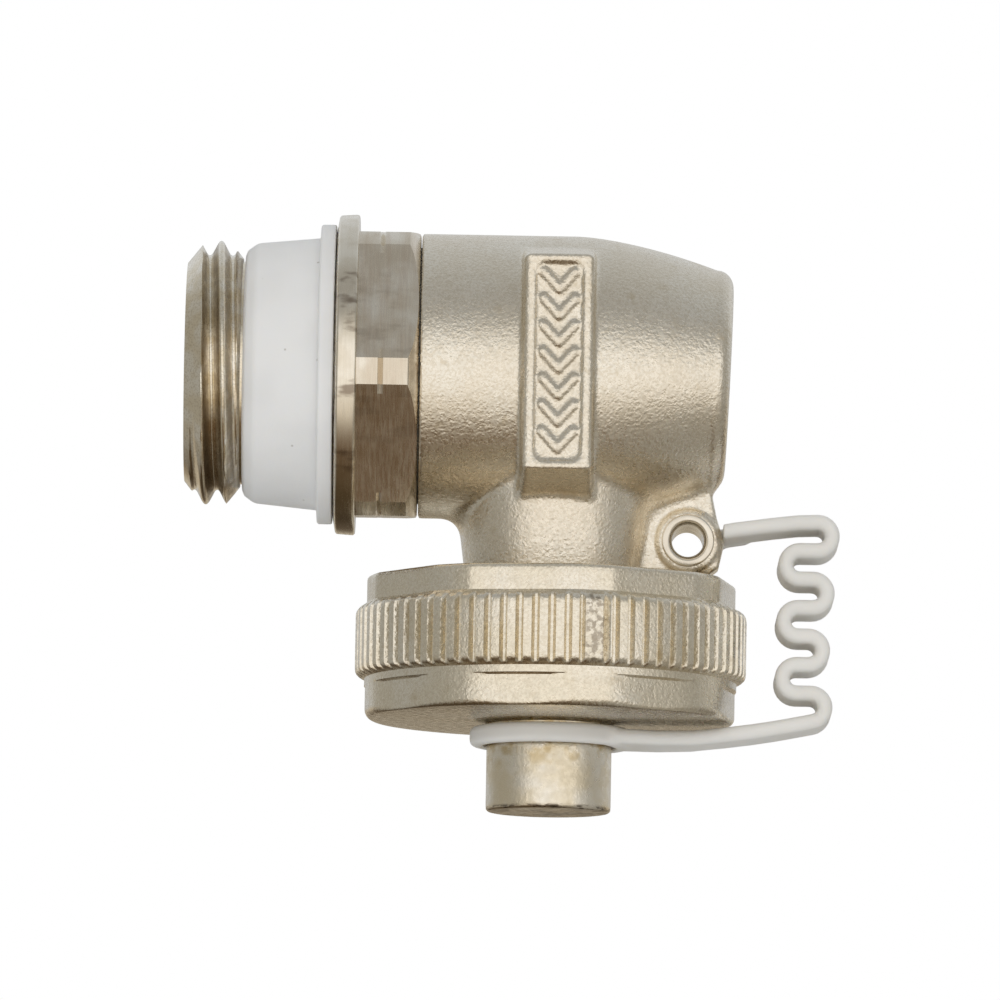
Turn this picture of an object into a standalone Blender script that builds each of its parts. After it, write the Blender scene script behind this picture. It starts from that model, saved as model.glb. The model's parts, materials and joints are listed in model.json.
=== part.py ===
"""Self-sealing swivelling fill-and-drain valve for radiators and boilers.

Origin: on the nipple's axis, in the plane where the sealing collar meets the port's face.
+X runs along the nipple from its thread to the key end, +Z is up, and the outlet points down.
Every length below is in millimetres; MM turns it into Blender's metres.
"""

import math

import bmesh
import bpy

MM = 0.001

# Whitworth pipe thread form, shared by the G 1/2 inlet and the G 3/4 outlet
PIPE_PITCH = 1.814
PIPE_DEPTH = 1.162
INLET_MAJOR_R = 20.955 / 2
OUTLET_MAJOR_R = 26.441 / 2
# Sides of a turned shape, and of one turn of a thread
LARGE = 36
SMALL = 20
PIPE_THREAD_SIDES = 24
STEM_THREAD_SIDES = 16

# Nipple, from its free end to the seat lip inside the valve body
NIPPLE_START = -10.5
INLET_THREAD_END = -6.1
NIPPLE_BORE_R = 5.5
COLLAR_SEAT_R = 8.85
FLANGE_START = 1.35
FLANGE_END = 3.1
FLANGE_R = 12.75
HEX_END = 7.85
HEX_ACROSS_FLATS = 22.45
HEX_TURNED_R = 12.4
HEX_GROOVE_X = 5.0
HEX_TURN_DEG = 5.2
HEX_CORE_R = 10.4
HEX_INNER_R = 9.0
SPIGOT_R = 7.75
SPIGOT_END = 14.3
SEAT_R = 4.5
SEAT_END = 14.8
SEAT_BORE_START = 9.0
SEAT_BORE_TAPER_START = 8.0
GROOVE_FLOOR_R = 6.75
RING_GROOVE_FLOOR_R = 7.0

# Sealing collar
COLLAR_START = -5.9
COLLAR_NOSE_R = 10.3
COLLAR_BASE_R = 10.8
COLLAR_FLANGE_R = 11.9
COLLAR_FLANGE_END = 1.27
COLLAR_BORE_R = 9.0

# Swivel seals and ring, by the middle of each along X
FRONT_O_RING_X = 10.25
RETAINING_RING_X = 11.8
REAR_O_RING_X = 13.3
O_RING_GROOVE_WIDTH = 1.3
RING_GROOVE_WIDTH = 1.1
SLIDE_WASHER_START = 7.95
SLIDE_WASHER_END = 8.95
SLIDE_WASHER_BORE_R = 7.95
SLIDE_WASHER_R = 10.2

# Valve body
BODY_START = 8.1
BODY_R = 11.35
BODY_END = 32.6
SWIVEL_BORE_R = 8.05
WASHER_POCKET_R = 10.4
WASHER_POCKET_END = 9.1
CHAMBER_START = 14.6
CHAMBER_R = 7.2
CHAMBER_END = 21.3
STEM_SEAL_BORE_R = 5.3
STEM_THREAD_START = 26.2
STEM_THREAD_END = 31.0
KEY_RECESS_R = 6.4
STOP_RING_X = 31.5
STOP_RING_GROOVE_WIDTH = 0.7

# Outlet, on its own axis, which crosses the nipple's axis at this X
OUTLET_X = 18.8
NECK_R = 7.1
NECK_BORE_R = 4.8
SPOUT_TOP = -16.4
SPOUT_END = -24.3
SPOUT_RIDGE_START = -22.9
SPOUT_BORE_R = 8.8

# Stem: an M12 x 1 screw with a 5 mm square end
STEM_PITCH = 1.0
STEM_MAJOR_R = 6.0
STEM_MINOR_R = 5.5
STEM_SHANK_R = 5.12
STEM_HEAD_START = 17.25
STEM_HEAD_END = 18.1
STEM_HEAD_R = 2.4
STEM_NECK_R = 1.6
STEM_FRONT = 20.4
STEM_SCREW_START = 26.3
STEM_RIDGE_START = 26.75
STEM_SCREW_END = 28.9
STEM_TIP = 31.2
STEM_KEY_R = 3.35
STEM_SQUARE = 5.0
STEM_O_RING_X = (22.2, 23.5)
STEM_GROOVE_FLOOR_R = 4.1

# Outlet cap
CAP_TOP = -16.2
KNURL_TOP = -18.4
KNURL_BOTTOM = -24.2
CAP_WALL_BOTTOM = -27.0
CAP_BOTTOM = -27.4
CAP_FLOOR = -25.9
CAP_R = 14.75
CAP_BOTTOM_R = 14.3
KNURL_R = 15.5
KNURL_ROOT_R = 15.05
KNURL_RIBS = 76
TOP_FLAT_DISTANCE = 14.157
LOW_FLAT_DISTANCE = 14.4
FLAT_COUNT = 8
FIRST_FLAT_DEG = -10.0
CAP_BORE_R = 13.4
CAP_SEAL_R = 12.6
POST_R = 4.95
POST_BOTTOM = -34.6

# Lug and rivet
RIVET_X = 29.5
RIVET_Z = -13.0
LUG_HALF_THICKNESS = 1.7
LUG_BOSS_HALF_THICKNESS = 2.1
LUG_BOSS_R = 2.5
LUG_HOLE_R = 1.65
RIVET_OUTER_R = 1.45
RIVET_INNER_R = 1.2
RIVET_HEAD_R = 2.1

# Name plate, left blank, on the front of the body
PLATE_LEFT = 16.5
PLATE_RIGHT = 21.5
PLATE_FRONT = -11.95
PLATE_RECESS = 0.3
RECESS_BOTTOM = -7.9
RECESS_TOP = 8.0

# Captive strap
STRAP_THICKNESS = 1.2
STRAP_WIDTH = 6.6
STRAP_RING_TOP = -27.8
STRAP_RING_BOTTOM = -29.2
STRAP_RING_R = 6.3
STRAP_RING_BORE_R = 5.25
FIRST_BEND_Z = -12.55
BEND_STEP = 2.265
BEND_COUNT = 7
RIGHT_BEND_X = 39.45
LEFT_BEND_X = 38.3
EYE_R = 2.7
EYE_FRONT_Y = 2.3
EYE_BACK_Y = 3.5

PLATED_BRASS = (0.70, 0.66, 0.57)
STEEL = (0.55, 0.55, 0.56)
BRASS = (0.72, 0.56, 0.28)
WHITE_PLASTIC = (0.80, 0.79, 0.76)
NATURAL_PLASTIC = (0.62, 0.58, 0.48)
BLACK_RUBBER = (0.03, 0.03, 0.032)
RED_FIBRE = (0.42, 0.12, 0.07)


def material(name, colour, roughness, metallic):
    """A Principled material, made once and found again by its name."""
    made = bpy.data.materials.get(name)
    if made is None:
        made = bpy.data.materials.new(name)
        made.use_nodes = True
        shader = made.node_tree.nodes["Principled BSDF"]
        shader.inputs["Base Color"].default_value = (*colour, 1.0)
        shader.inputs["Roughness"].default_value = roughness
        shader.inputs["Metallic"].default_value = metallic
        made.diffuse_color = (*colour, 1.0)
    return made


def on_axis(axis, along, radius, turn):
    """A point at an angle round an axis; a growing angle turns right-handed round +axis."""
    side, other = radius * math.sin(turn), radius * math.cos(turn)
    if axis == "X":
        return (along, -other, -side)
    if axis == "Y":
        return (side, along, other)
    return (side, -other, along)


def add_object(name, points, faces, finish, location=(0, 0, 0), parent=None):
    """A mesh object from points in millimetres, with its faces turned outwards."""
    mesh = bpy.data.meshes.new(name)
    mesh.from_pydata([(x * MM, y * MM, z * MM) for x, y, z in points], [], faces)
    work = bmesh.new()
    work.from_mesh(mesh)
    bmesh.ops.recalc_face_normals(work, faces=work.faces)
    work.to_mesh(mesh)
    work.free()
    mesh.shade_smooth()
    mesh.set_sharp_from_angle(angle=math.radians(35))
    made = bpy.data.objects.new(name, mesh)
    made.location = [value * MM for value in location]
    made.parent = parent
    if finish is not None:
        mesh.materials.append(finish)
    bpy.context.scene.collection.objects.link(made)
    return made


def helper(made):
    """Marks a shape that only cuts or joins another one."""
    made.hide_render = True
    made.display_type = "WIRE"
    made.hide_set(True)
    return made


def combine(target, operation, tools):
    """Adds one exact Boolean for each tool, in order."""
    for tool in tools:
        step = target.modifiers.new(operation.lower(), "BOOLEAN")
        step.operation = operation
        step.solver = "EXACT"
        step.object = helper(tool)
    return target


def lathe(name, axis, outline, segments, finish=None, location=(0, 0, 0), parent=None):
    """A turned solid. The outline is (along, radius) points; a radius of 0 lies on the axis."""
    points, rows = [], []
    for along, radius in outline:
        if radius == 0:
            rows.append([len(points)] * segments)
            points.append(on_axis(axis, along, 0, 0))
            continue
        rows.append(list(range(len(points), len(points) + segments)))
        points += [on_axis(axis, along, radius, math.tau * i / segments) for i in range(segments)]
    faces = []
    for one, two in zip(rows, rows[1:] + rows[:1]):
        if one[0] == one[1] and two[0] == two[1]:
            continue
        for i in range(segments):
            j = (i + 1) % segments
            corners = [one[i], one[j], two[j], two[i]]
            faces.append(list(dict.fromkeys(corners)))
    return add_object(name, points, faces, finish, location, parent)


def prism(name, outline, low, high, place, finish=None, location=(0, 0, 0), parent=None):
    """An outline of (u, v) points drawn out from low to high; place turns (u, v, w) into x, y, z."""
    return loft(name, [[place(u, v, w) for u, v in outline] for w in (low, high)], finish, location, parent)


def loft(name, rings, finish=None, location=(0, 0, 0), parent=None):
    """A solid through rings of the same number of points, with flat ends."""
    count = len(rings[0])
    faces = [list(range(count)), [len(rings) * count - 1 - i for i in range(count)]]
    for level in range(len(rings) - 1):
        base = level * count
        for i in range(count):
            j = (i + 1) % count
            faces.append([base + i, base + j, base + count + j, base + count + i])
    return add_object(name, [point for ring in rings for point in ring], faces, finish, location, parent)


def torus(name, axis, along, ring_r, tube_r, finish, location=(0, 0, 0), parent=None):
    """An O-ring."""
    outline = [
        (along + tube_r * math.cos(math.tau * i / 6), ring_r + tube_r * math.sin(math.tau * i / 6))
        for i in range(6)
    ]
    return lathe(name, axis, outline, SMALL, finish, location, parent)


def split_ring(name, axis, middle, width, inner_r, outer_r, gap_deg, finish, parent=None):
    """A spring ring of square section, open at the bottom."""
    steps = 24
    gap = math.radians(gap_deg)
    turns = [math.pi + gap / 2 + (math.tau - gap) * i / steps for i in range(steps + 1)]
    low, high = middle - width / 2, middle + width / 2
    corners = [(low, inner_r), (low, outer_r), (high, outer_r), (high, inner_r)]
    rings = [[on_axis(axis, along, radius, turn) for along, radius in corners] for turn in turns]
    return loft(name, rings, finish, parent=parent)


def thread_ridge(name, axis, start, turns, pitch, radii, widths, segments, location=(0, 0, 0)):
    """One right-handed helical ridge; radii and widths are (root, crest). Its ends fade out."""
    steps = round(turns * segments)
    fade = segments // 4
    rings = []
    for i in range(steps + 1):
        turn = math.tau * i / segments
        along = start + pitch * i / segments
        share = min(1.0, (min(i, steps - i) + 0.6) / fade)
        crest = radii[0] + (radii[1] - radii[0]) * share
        foot, top = widths[0] / 2, widths[1] / 2
        corners = [(-foot, radii[0]), (-top, crest), (top, crest), (foot, radii[0])]
        rings.append([on_axis(axis, along + offset, radius, turn) for offset, radius in corners])
    return loft(name, rings, location=location)


def flatted_circle(radius, flat_distance, arc_points=3):
    """A circle with equal flats, as (u, v) points; u is +X and v is +Y."""
    half = math.acos(flat_distance / radius)
    points = []
    for k in range(FLAT_COUNT):
        middle = math.radians(FIRST_FLAT_DEG) + math.tau * k / FLAT_COUNT
        end = middle + half
        following = middle + math.tau / FLAT_COUNT - half
        points.append((middle - half, radius))
        points += [(end + (following - end) * i / arc_points, radius) for i in range(arc_points)]
    return [(r * math.sin(turn), -r * math.cos(turn)) for turn, r in points]


def clear_scene():
    for old in list(bpy.data.objects):
        bpy.data.objects.remove(old, do_unlink=True)


def axis_empty(name, location):
    made = bpy.data.objects.new(name, None)
    made.location = [value * MM for value in location]
    made.empty_display_size = 0.005
    bpy.context.scene.collection.objects.link(made)
    return made


def along_x(u, v, w):
    """Places a section across the nipple's axis: (u, v) are Y and Z, w is X."""
    return (w, u, v)


def along_y(u, v, w):
    """Places a section in the plane of both axes: (u, v) are X and Z, w is Y."""
    return (u, w, v)


def upright(u, v, w):
    """Places a section of the outlet: (u, v) are X and Y, w is Z."""
    return (u, v, w)


def pipe_ridge(name, axis, start, turns, major_r, location=(0, 0, 0)):
    """The ridge of an outer pipe thread, its root sunk a little into the core."""
    root_r = major_r - PIPE_DEPTH - 0.15
    radii, widths = (root_r, major_r), (1.6, 0.3)
    return thread_ridge(name, axis, start, turns, PIPE_PITCH, radii, widths, PIPE_THREAD_SIDES, location)


def build_nipple(finish, parent):
    core_r = INLET_MAJOR_R - PIPE_DEPTH
    grooves = []
    for middle, width, floor in (
        (FRONT_O_RING_X, O_RING_GROOVE_WIDTH, GROOVE_FLOOR_R),
        (RETAINING_RING_X, RING_GROOVE_WIDTH, RING_GROOVE_FLOOR_R),
        (REAR_O_RING_X, O_RING_GROOVE_WIDTH, GROOVE_FLOOR_R),
    ):
        low, high = middle - width / 2, middle + width / 2
        grooves += [(low, SPIGOT_R), (low, floor), (high, floor), (high, SPIGOT_R)]
    outline = [
        (NIPPLE_START, NIPPLE_BORE_R),
        (NIPPLE_START, core_r - 0.5),
        (NIPPLE_START + 0.5, core_r),
        (INLET_THREAD_END, core_r),
        (INLET_THREAD_END, COLLAR_SEAT_R),
        (FLANGE_START, COLLAR_SEAT_R),
        (FLANGE_START, FLANGE_R - 0.3),
        (FLANGE_START + 0.3, FLANGE_R),
        (FLANGE_END - 0.3, FLANGE_R),
        (FLANGE_END, FLANGE_R - 0.3),
        (FLANGE_END, HEX_CORE_R),
        (HEX_END - 0.4, HEX_CORE_R),
        (HEX_END - 0.4, SPIGOT_R),
        *grooves,
        (SPIGOT_END - 0.15, SPIGOT_R),
        (SPIGOT_END, SPIGOT_R - 0.15),
        (SPIGOT_END, SEAT_R + 0.9),
        (SEAT_END, SEAT_R + 0.5),
        (SEAT_END, SEAT_R + 0.2),
        (SEAT_END - 0.2, SEAT_R),
        (SEAT_BORE_START, SEAT_R),
        (SEAT_BORE_TAPER_START, NIPPLE_BORE_R),
    ]
    nipple = lathe("threaded_nipple", "X", outline, LARGE, finish, parent=parent)
    ridge = pipe_ridge("inlet_ridge", "X", NIPPLE_START + 1.05, 1.4, INLET_MAJOR_R)
    corner = HEX_ACROSS_FLATS / 2 / math.cos(math.pi / 6)
    turns = [math.radians(HEX_TURN_DEG + 60 * i) for i in range(6)]
    hexagon = [(corner * math.cos(turn), corner * math.sin(turn)) for turn in turns]
    hex_bar = prism("hex_bar", hexagon, FLANGE_END - 0.4, HEX_END, along_x)
    turned = [
        (FLANGE_END - 1.0, HEX_INNER_R),
        (FLANGE_END - 1.0, HEX_TURNED_R),
        (HEX_GROOVE_X - 0.35, HEX_TURNED_R),
        (HEX_GROOVE_X, HEX_TURNED_R - 0.4),
        (HEX_GROOVE_X + 0.35, HEX_TURNED_R),
        (HEX_END - 0.65, HEX_TURNED_R),
        (HEX_END + 0.25, HEX_TURNED_R - 1.4),
        (HEX_END + 0.25, HEX_INNER_R),
    ]
    combine(hex_bar, "INTERSECT", [lathe("hex_turning", "X", turned, LARGE)])
    return combine(nipple, "UNION", [ridge, hex_bar])


def build_collar(finish, parent):
    outline = [
        (COLLAR_START, COLLAR_BORE_R),
        (COLLAR_START, COLLAR_NOSE_R - 0.9),
        (COLLAR_START + 0.25, COLLAR_NOSE_R - 0.3),
        (COLLAR_START + 0.9, COLLAR_NOSE_R),
        (0, COLLAR_BASE_R),
        (0, COLLAR_FLANGE_R - 0.15),
        (0.15, COLLAR_FLANGE_R),
        (COLLAR_FLANGE_END - 0.15, COLLAR_FLANGE_R),
        (COLLAR_FLANGE_END, COLLAR_FLANGE_R - 0.15),
        (COLLAR_FLANGE_END, COLLAR_BORE_R),
    ]
    return lathe("sealing_collar", "X", outline, LARGE, finish, parent=parent)


def build_swivel_parts(finishes, parent):
    """The washer, the two seals and the spring ring between the nipple and the valve body."""
    washer = [
        (SLIDE_WASHER_START, SLIDE_WASHER_BORE_R),
        (SLIDE_WASHER_START, SLIDE_WASHER_R),
        (SLIDE_WASHER_END, SLIDE_WASHER_R),
        (SLIDE_WASHER_END, SLIDE_WASHER_BORE_R),
    ]
    lathe("swivel_slide_washer", "X", washer, LARGE, finishes["natural"], parent=parent)
    o_rings = (("swivel_o_ring_front", FRONT_O_RING_X), ("swivel_o_ring_rear", REAR_O_RING_X))
    for name, middle in o_rings:
        torus(name, "X", middle, 7.4, 0.5, finishes["rubber"], parent=parent)
    split_ring("swivel_retaining_ring", "X", RETAINING_RING_X, 0.7, 7.25, 8.5, 30, finishes["steel"], parent)


def body_shell(finish, parent):
    """The outside of the casting's barrel: a cylinder that narrows towards the key end."""
    shoulder, end_r, edge = 21.5, 8.75, 1.0
    outline = [(BODY_START, 0), (BODY_START, BODY_R - 0.35), (BODY_START + 0.35, BODY_R)]
    steps = 6
    for i in range(steps + 1):
        share = i / steps
        along = shoulder + (BODY_END - edge - shoulder) * share
        outline.append((along, BODY_R - (BODY_R - end_r) * share ** 1.55))
    outline += [(BODY_END - 0.3, end_r - 0.4), (BODY_END, end_r - edge), (BODY_END, 0)]
    return lathe("valve_body", "X", outline, LARGE, finish, parent=parent)


def spout_solid():
    """The neck with its flare, the spout and the spout's shoulder, on the outlet's axis."""
    core_r = OUTLET_MAJOR_R - PIPE_DEPTH
    outline = [
        (-4.0, 0),
        (-4.0, NECK_R - 0.6),
        (-10.7, NECK_R + 0.35),
        (-11.6, NECK_R + 0.8),
        (-12.6, NECK_R + 0.2),
        (-14.0, NECK_R),
        (SPOUT_TOP - 0.1, NECK_R),
        (SPOUT_TOP - 0.1, core_r - 0.4),
        (SPOUT_TOP - 0.5, core_r),
        (SPOUT_END + 0.5, core_r),
        (SPOUT_END, core_r - 0.5),
        (SPOUT_END, 0),
    ]
    return lathe("spout_solid", "Z", outline, LARGE, location=(OUTLET_X, 0, 0))


def lug_solids():
    """The lug that carries the strap's rivet, and the round boss on it."""
    outline = [
        (24.5, -8.0),
        (31.0, -7.0),
        (31.35, -9.1),
        (31.85, -11.2),
        (32.45, -13.1),
        (31.95, -15.2),
        (31.2, -15.7),
        (24.5, -15.7),
    ]
    lug = prism("lug", outline, -LUG_HALF_THICKNESS, LUG_HALF_THICKNESS, along_y)
    boss_outline = [
        (-LUG_BOSS_HALF_THICKNESS, 0),
        (-LUG_BOSS_HALF_THICKNESS, LUG_BOSS_R - 0.2),
        (-LUG_HALF_THICKNESS, LUG_BOSS_R),
        (LUG_HALF_THICKNESS, LUG_BOSS_R),
        (LUG_BOSS_HALF_THICKNESS, LUG_BOSS_R - 0.2),
        (LUG_BOSS_HALF_THICKNESS, 0),
    ]
    boss = lathe("lug_boss", "Y", boss_outline, SMALL, location=(RIVET_X, 0, RIVET_Z))
    return [lug, boss]


def plate_solid():
    """The raised plate, with drafted ends."""
    outline = [
        (PLATE_FRONT, -8.55),
        (PLATE_FRONT, 8.5),
        (-6.5, 9.6),
        (-4.0, 8.0),
        (-4.0, -8.0),
        (-7.0, -10.3),
    ]
    return prism("plate", outline, PLATE_LEFT, PLATE_RIGHT, along_x)


def barrel_bore():
    """Everything that is hollow along the nipple's axis."""
    ring_low, ring_high = RETAINING_RING_X - RING_GROOVE_WIDTH / 2, RETAINING_RING_X + RING_GROOVE_WIDTH / 2
    stop_low, stop_high = STOP_RING_X - STOP_RING_GROOVE_WIDTH / 2, STOP_RING_X + STOP_RING_GROOVE_WIDTH / 2
    outline = [
        (BODY_START - 1.0, 0),
        (BODY_START - 1.0, WASHER_POCKET_R),
        (WASHER_POCKET_END, WASHER_POCKET_R),
        (WASHER_POCKET_END, SWIVEL_BORE_R),
        (ring_low, SWIVEL_BORE_R),
        (ring_low, SWIVEL_BORE_R + 0.7),
        (ring_high, SWIVEL_BORE_R + 0.7),
        (ring_high, SWIVEL_BORE_R),
        (CHAMBER_START, SWIVEL_BORE_R),
        (CHAMBER_START, CHAMBER_R),
        (CHAMBER_END, CHAMBER_R),
        (CHAMBER_END + 0.4, STEM_SEAL_BORE_R),
        (STEM_THREAD_START, STEM_SEAL_BORE_R),
        (STEM_THREAD_START, STEM_MAJOR_R + 0.15),
        (STEM_THREAD_END, STEM_MAJOR_R + 0.15),
        (STEM_THREAD_END, KEY_RECESS_R),
        (stop_low, KEY_RECESS_R),
        (stop_low, KEY_RECESS_R + 0.5),
        (stop_high, KEY_RECESS_R + 0.5),
        (stop_high, KEY_RECESS_R),
        (BODY_END - 0.3, KEY_RECESS_R),
        (BODY_END + 0.5, KEY_RECESS_R + 0.8),
        (BODY_END + 0.5, 0),
    ]
    return lathe("barrel_bore", "X", outline, LARGE)


def outlet_bore():
    outline = [
        (-3.0, 0),
        (-3.0, NECK_BORE_R),
        (-16.0, NECK_BORE_R),
        (-18.4, SPOUT_BORE_R),
        (SPOUT_END + 0.3, SPOUT_BORE_R),
        (SPOUT_END - 0.5, SPOUT_BORE_R + 0.8),
        (SPOUT_END - 0.5, 0),
    ]
    return lathe("outlet_bore", "Z", outline, SMALL, location=(OUTLET_X, 0, 0))


def build_body(finish, parent):
    body = body_shell(finish, parent)
    spout_ridge = pipe_ridge("spout_ridge", "Z", SPOUT_RIDGE_START, 3.0, OUTLET_MAJOR_R, (OUTLET_X, 0, 0))
    combine(body, "UNION", [spout_solid(), *lug_solids(), plate_solid(), spout_ridge])
    front, floor = PLATE_FRONT - 1.0, PLATE_FRONT + PLATE_RECESS
    recess = [
        (front, RECESS_BOTTOM),
        (front, RECESS_TOP),
        (floor, RECESS_TOP),
        (floor, RECESS_BOTTOM),
    ]
    plate_recess = prism("plate_recess", recess, PLATE_LEFT + 0.6, PLATE_RIGHT - 0.7, along_x)
    hole = [(-3.0, 0), (-3.0, LUG_HOLE_R), (3.0, LUG_HOLE_R), (3.0, 0)]
    rivet_hole = lathe("rivet_hole", "Y", hole, SMALL - 2, location=(RIVET_X, 0, RIVET_Z))
    combine(body, "DIFFERENCE", [barrel_bore(), outlet_bore(), plate_recess, rivet_hole])
    stem_ridge = thread_ridge(
        "stem_nut_ridge", "X", STEM_RIDGE_START + STEM_PITCH / 2, 3.2, STEM_PITCH,
        (STEM_MAJOR_R + 0.3, STEM_MINOR_R + 0.12), (0.72, 0.1), STEM_THREAD_SIDES,
    )
    return combine(body, "UNION", [stem_ridge])


def build_stem(finishes, carrier_parent, stem_parent):
    """The stem, its seals and the sealing disc that swivels on its tip."""
    grooves = []
    floor = STEM_GROOVE_FLOOR_R
    for middle in STEM_O_RING_X:
        low, high = middle - 0.6, middle + 0.6
        grooves += [(low, STEM_SHANK_R), (low, floor), (high, floor), (high, STEM_SHANK_R)]
    outline = [
        (STEM_HEAD_START, 0),
        (STEM_HEAD_START, STEM_HEAD_R - 0.2),
        (STEM_HEAD_START + 0.2, STEM_HEAD_R),
        (STEM_HEAD_END, STEM_HEAD_R),
        (STEM_HEAD_END, STEM_NECK_R),
        (STEM_FRONT, STEM_NECK_R),
        (STEM_FRONT, STEM_SHANK_R - 0.4),
        (STEM_FRONT + 0.4, STEM_SHANK_R),
        *grooves,
        (STEM_SCREW_START, STEM_SHANK_R),
        (STEM_SCREW_START, STEM_MINOR_R),
        (STEM_SCREW_END, STEM_MINOR_R),
        (STEM_SCREW_END, 0),
    ]
    stem = lathe("valve_stem", "X", outline, SMALL, finishes["brass"], parent=stem_parent)
    half = STEM_SQUARE / 2
    square = [(-half, -half), (half, -half), (half, half), (-half, half)]
    turning = [
        (STEM_SCREW_END - 0.9, 0),
        (STEM_SCREW_END - 0.9, STEM_KEY_R),
        (STEM_TIP - 0.5, STEM_KEY_R),
        (STEM_TIP, STEM_KEY_R - 0.55),
        (STEM_TIP, 0),
    ]
    key_square = prism("key_square", square, STEM_SCREW_END - 0.5, STEM_TIP, along_x)
    combine(key_square, "INTERSECT", [lathe("key_turning", "X", turning, SMALL)])
    screw = thread_ridge(
        "stem_screw_ridge", "X", STEM_RIDGE_START, 1.7, STEM_PITCH,
        (STEM_MINOR_R - 0.15, STEM_MAJOR_R), (0.8, 0.12), STEM_THREAD_SIDES,
    )
    combine(stem, "UNION", [key_square, screw])
    for name, middle in zip(("stem_o_ring_front", "stem_o_ring_rear"), STEM_O_RING_X):
        torus(name, "X", middle, 4.7, 0.45, finishes["rubber"], parent=stem_parent)
    holder = [
        (15.5, 5.65),
        (15.5, 6.0),
        (16.6, 6.0),
        (18.9, 4.6),
        (18.9, 3.0),
        (18.8, 2.9),
        (18.75, 3.35),
        (18.3, 3.35),
        (18.3, 2.7),
        (17.05, 2.7),
        (17.05, 1.25),
        (16.45, 1.25),
        (16.45, 5.65),
    ]
    lathe("disc_holder", "X", holder, SMALL, finishes["brass"], parent=carrier_parent)
    seal = [(15.1, 1.3), (15.1, 5.35), (15.25, 5.5), (16.3, 5.5), (16.3, 1.3)]
    lathe("disc_seal", "X", seal, SMALL, finishes["rubber"], parent=carrier_parent)
    screw_outline = [
        (14.3, 0), (14.3, 1.5), (14.5, 1.9), (14.95, 1.9), (14.95, 1.1), (16.9, 1.1), (16.9, 0),
    ]
    lathe("disc_screw", "X", screw_outline, SMALL, finishes["steel"], parent=carrier_parent)
    split_ring("disc_clip", "X", 18.525, 0.3, 2.0, 3.2, 40, finishes["steel"], carrier_parent)


def build_stop_ring(finish, parent):
    split_ring("stem_stop_ring", "X", STOP_RING_X, 0.5, 5.1, 6.75, 40, finish, parent)


def build_rivet(finish, parent):
    """A tubular rivet with a flared rim at each end, and the washer under its rear rim."""
    front, back = -LUG_BOSS_HALF_THICKNESS, EYE_BACK_Y + 0.55
    outline = [
        (front - 0.25, RIVET_INNER_R + 0.2),
        (front - 0.35, RIVET_HEAD_R - 0.4),
        (front - 0.2, RIVET_HEAD_R),
        (front - 0.05, RIVET_HEAD_R),
        (front - 0.05, RIVET_OUTER_R),
        (back + 0.05, RIVET_OUTER_R),
        (back + 0.05, RIVET_HEAD_R),
        (back + 0.2, RIVET_HEAD_R),
        (back + 0.35, RIVET_HEAD_R - 0.4),
        (back + 0.25, RIVET_INNER_R + 0.2),
        (back, RIVET_INNER_R),
        (front, RIVET_INNER_R),
    ]
    lathe("strap_rivet", "Y", outline, SMALL, finish, (RIVET_X, 0, RIVET_Z), parent)
    washer = [(EYE_BACK_Y + 0.1, 1.65), (EYE_BACK_Y + 0.1, 2.6), (back - 0.1, 2.6), (back - 0.1, 1.65)]
    lathe("rivet_washer", "Y", washer, SMALL, finish, (RIVET_X, 0, RIVET_Z), parent)


def knurl_outline():
    """The cap's ribbed grip: a straight-sided rib with a flat crest, repeated."""
    points = []
    for rib in range(KNURL_RIBS):
        start = math.tau * rib / KNURL_RIBS
        pitch = math.tau / KNURL_RIBS
        for share, radius in ((0.12, KNURL_R), (0.62, KNURL_R), (0.87, KNURL_ROOT_R)):
            turn = start + pitch * share
            points.append((radius * math.sin(turn), -radius * math.cos(turn)))
    return points


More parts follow.
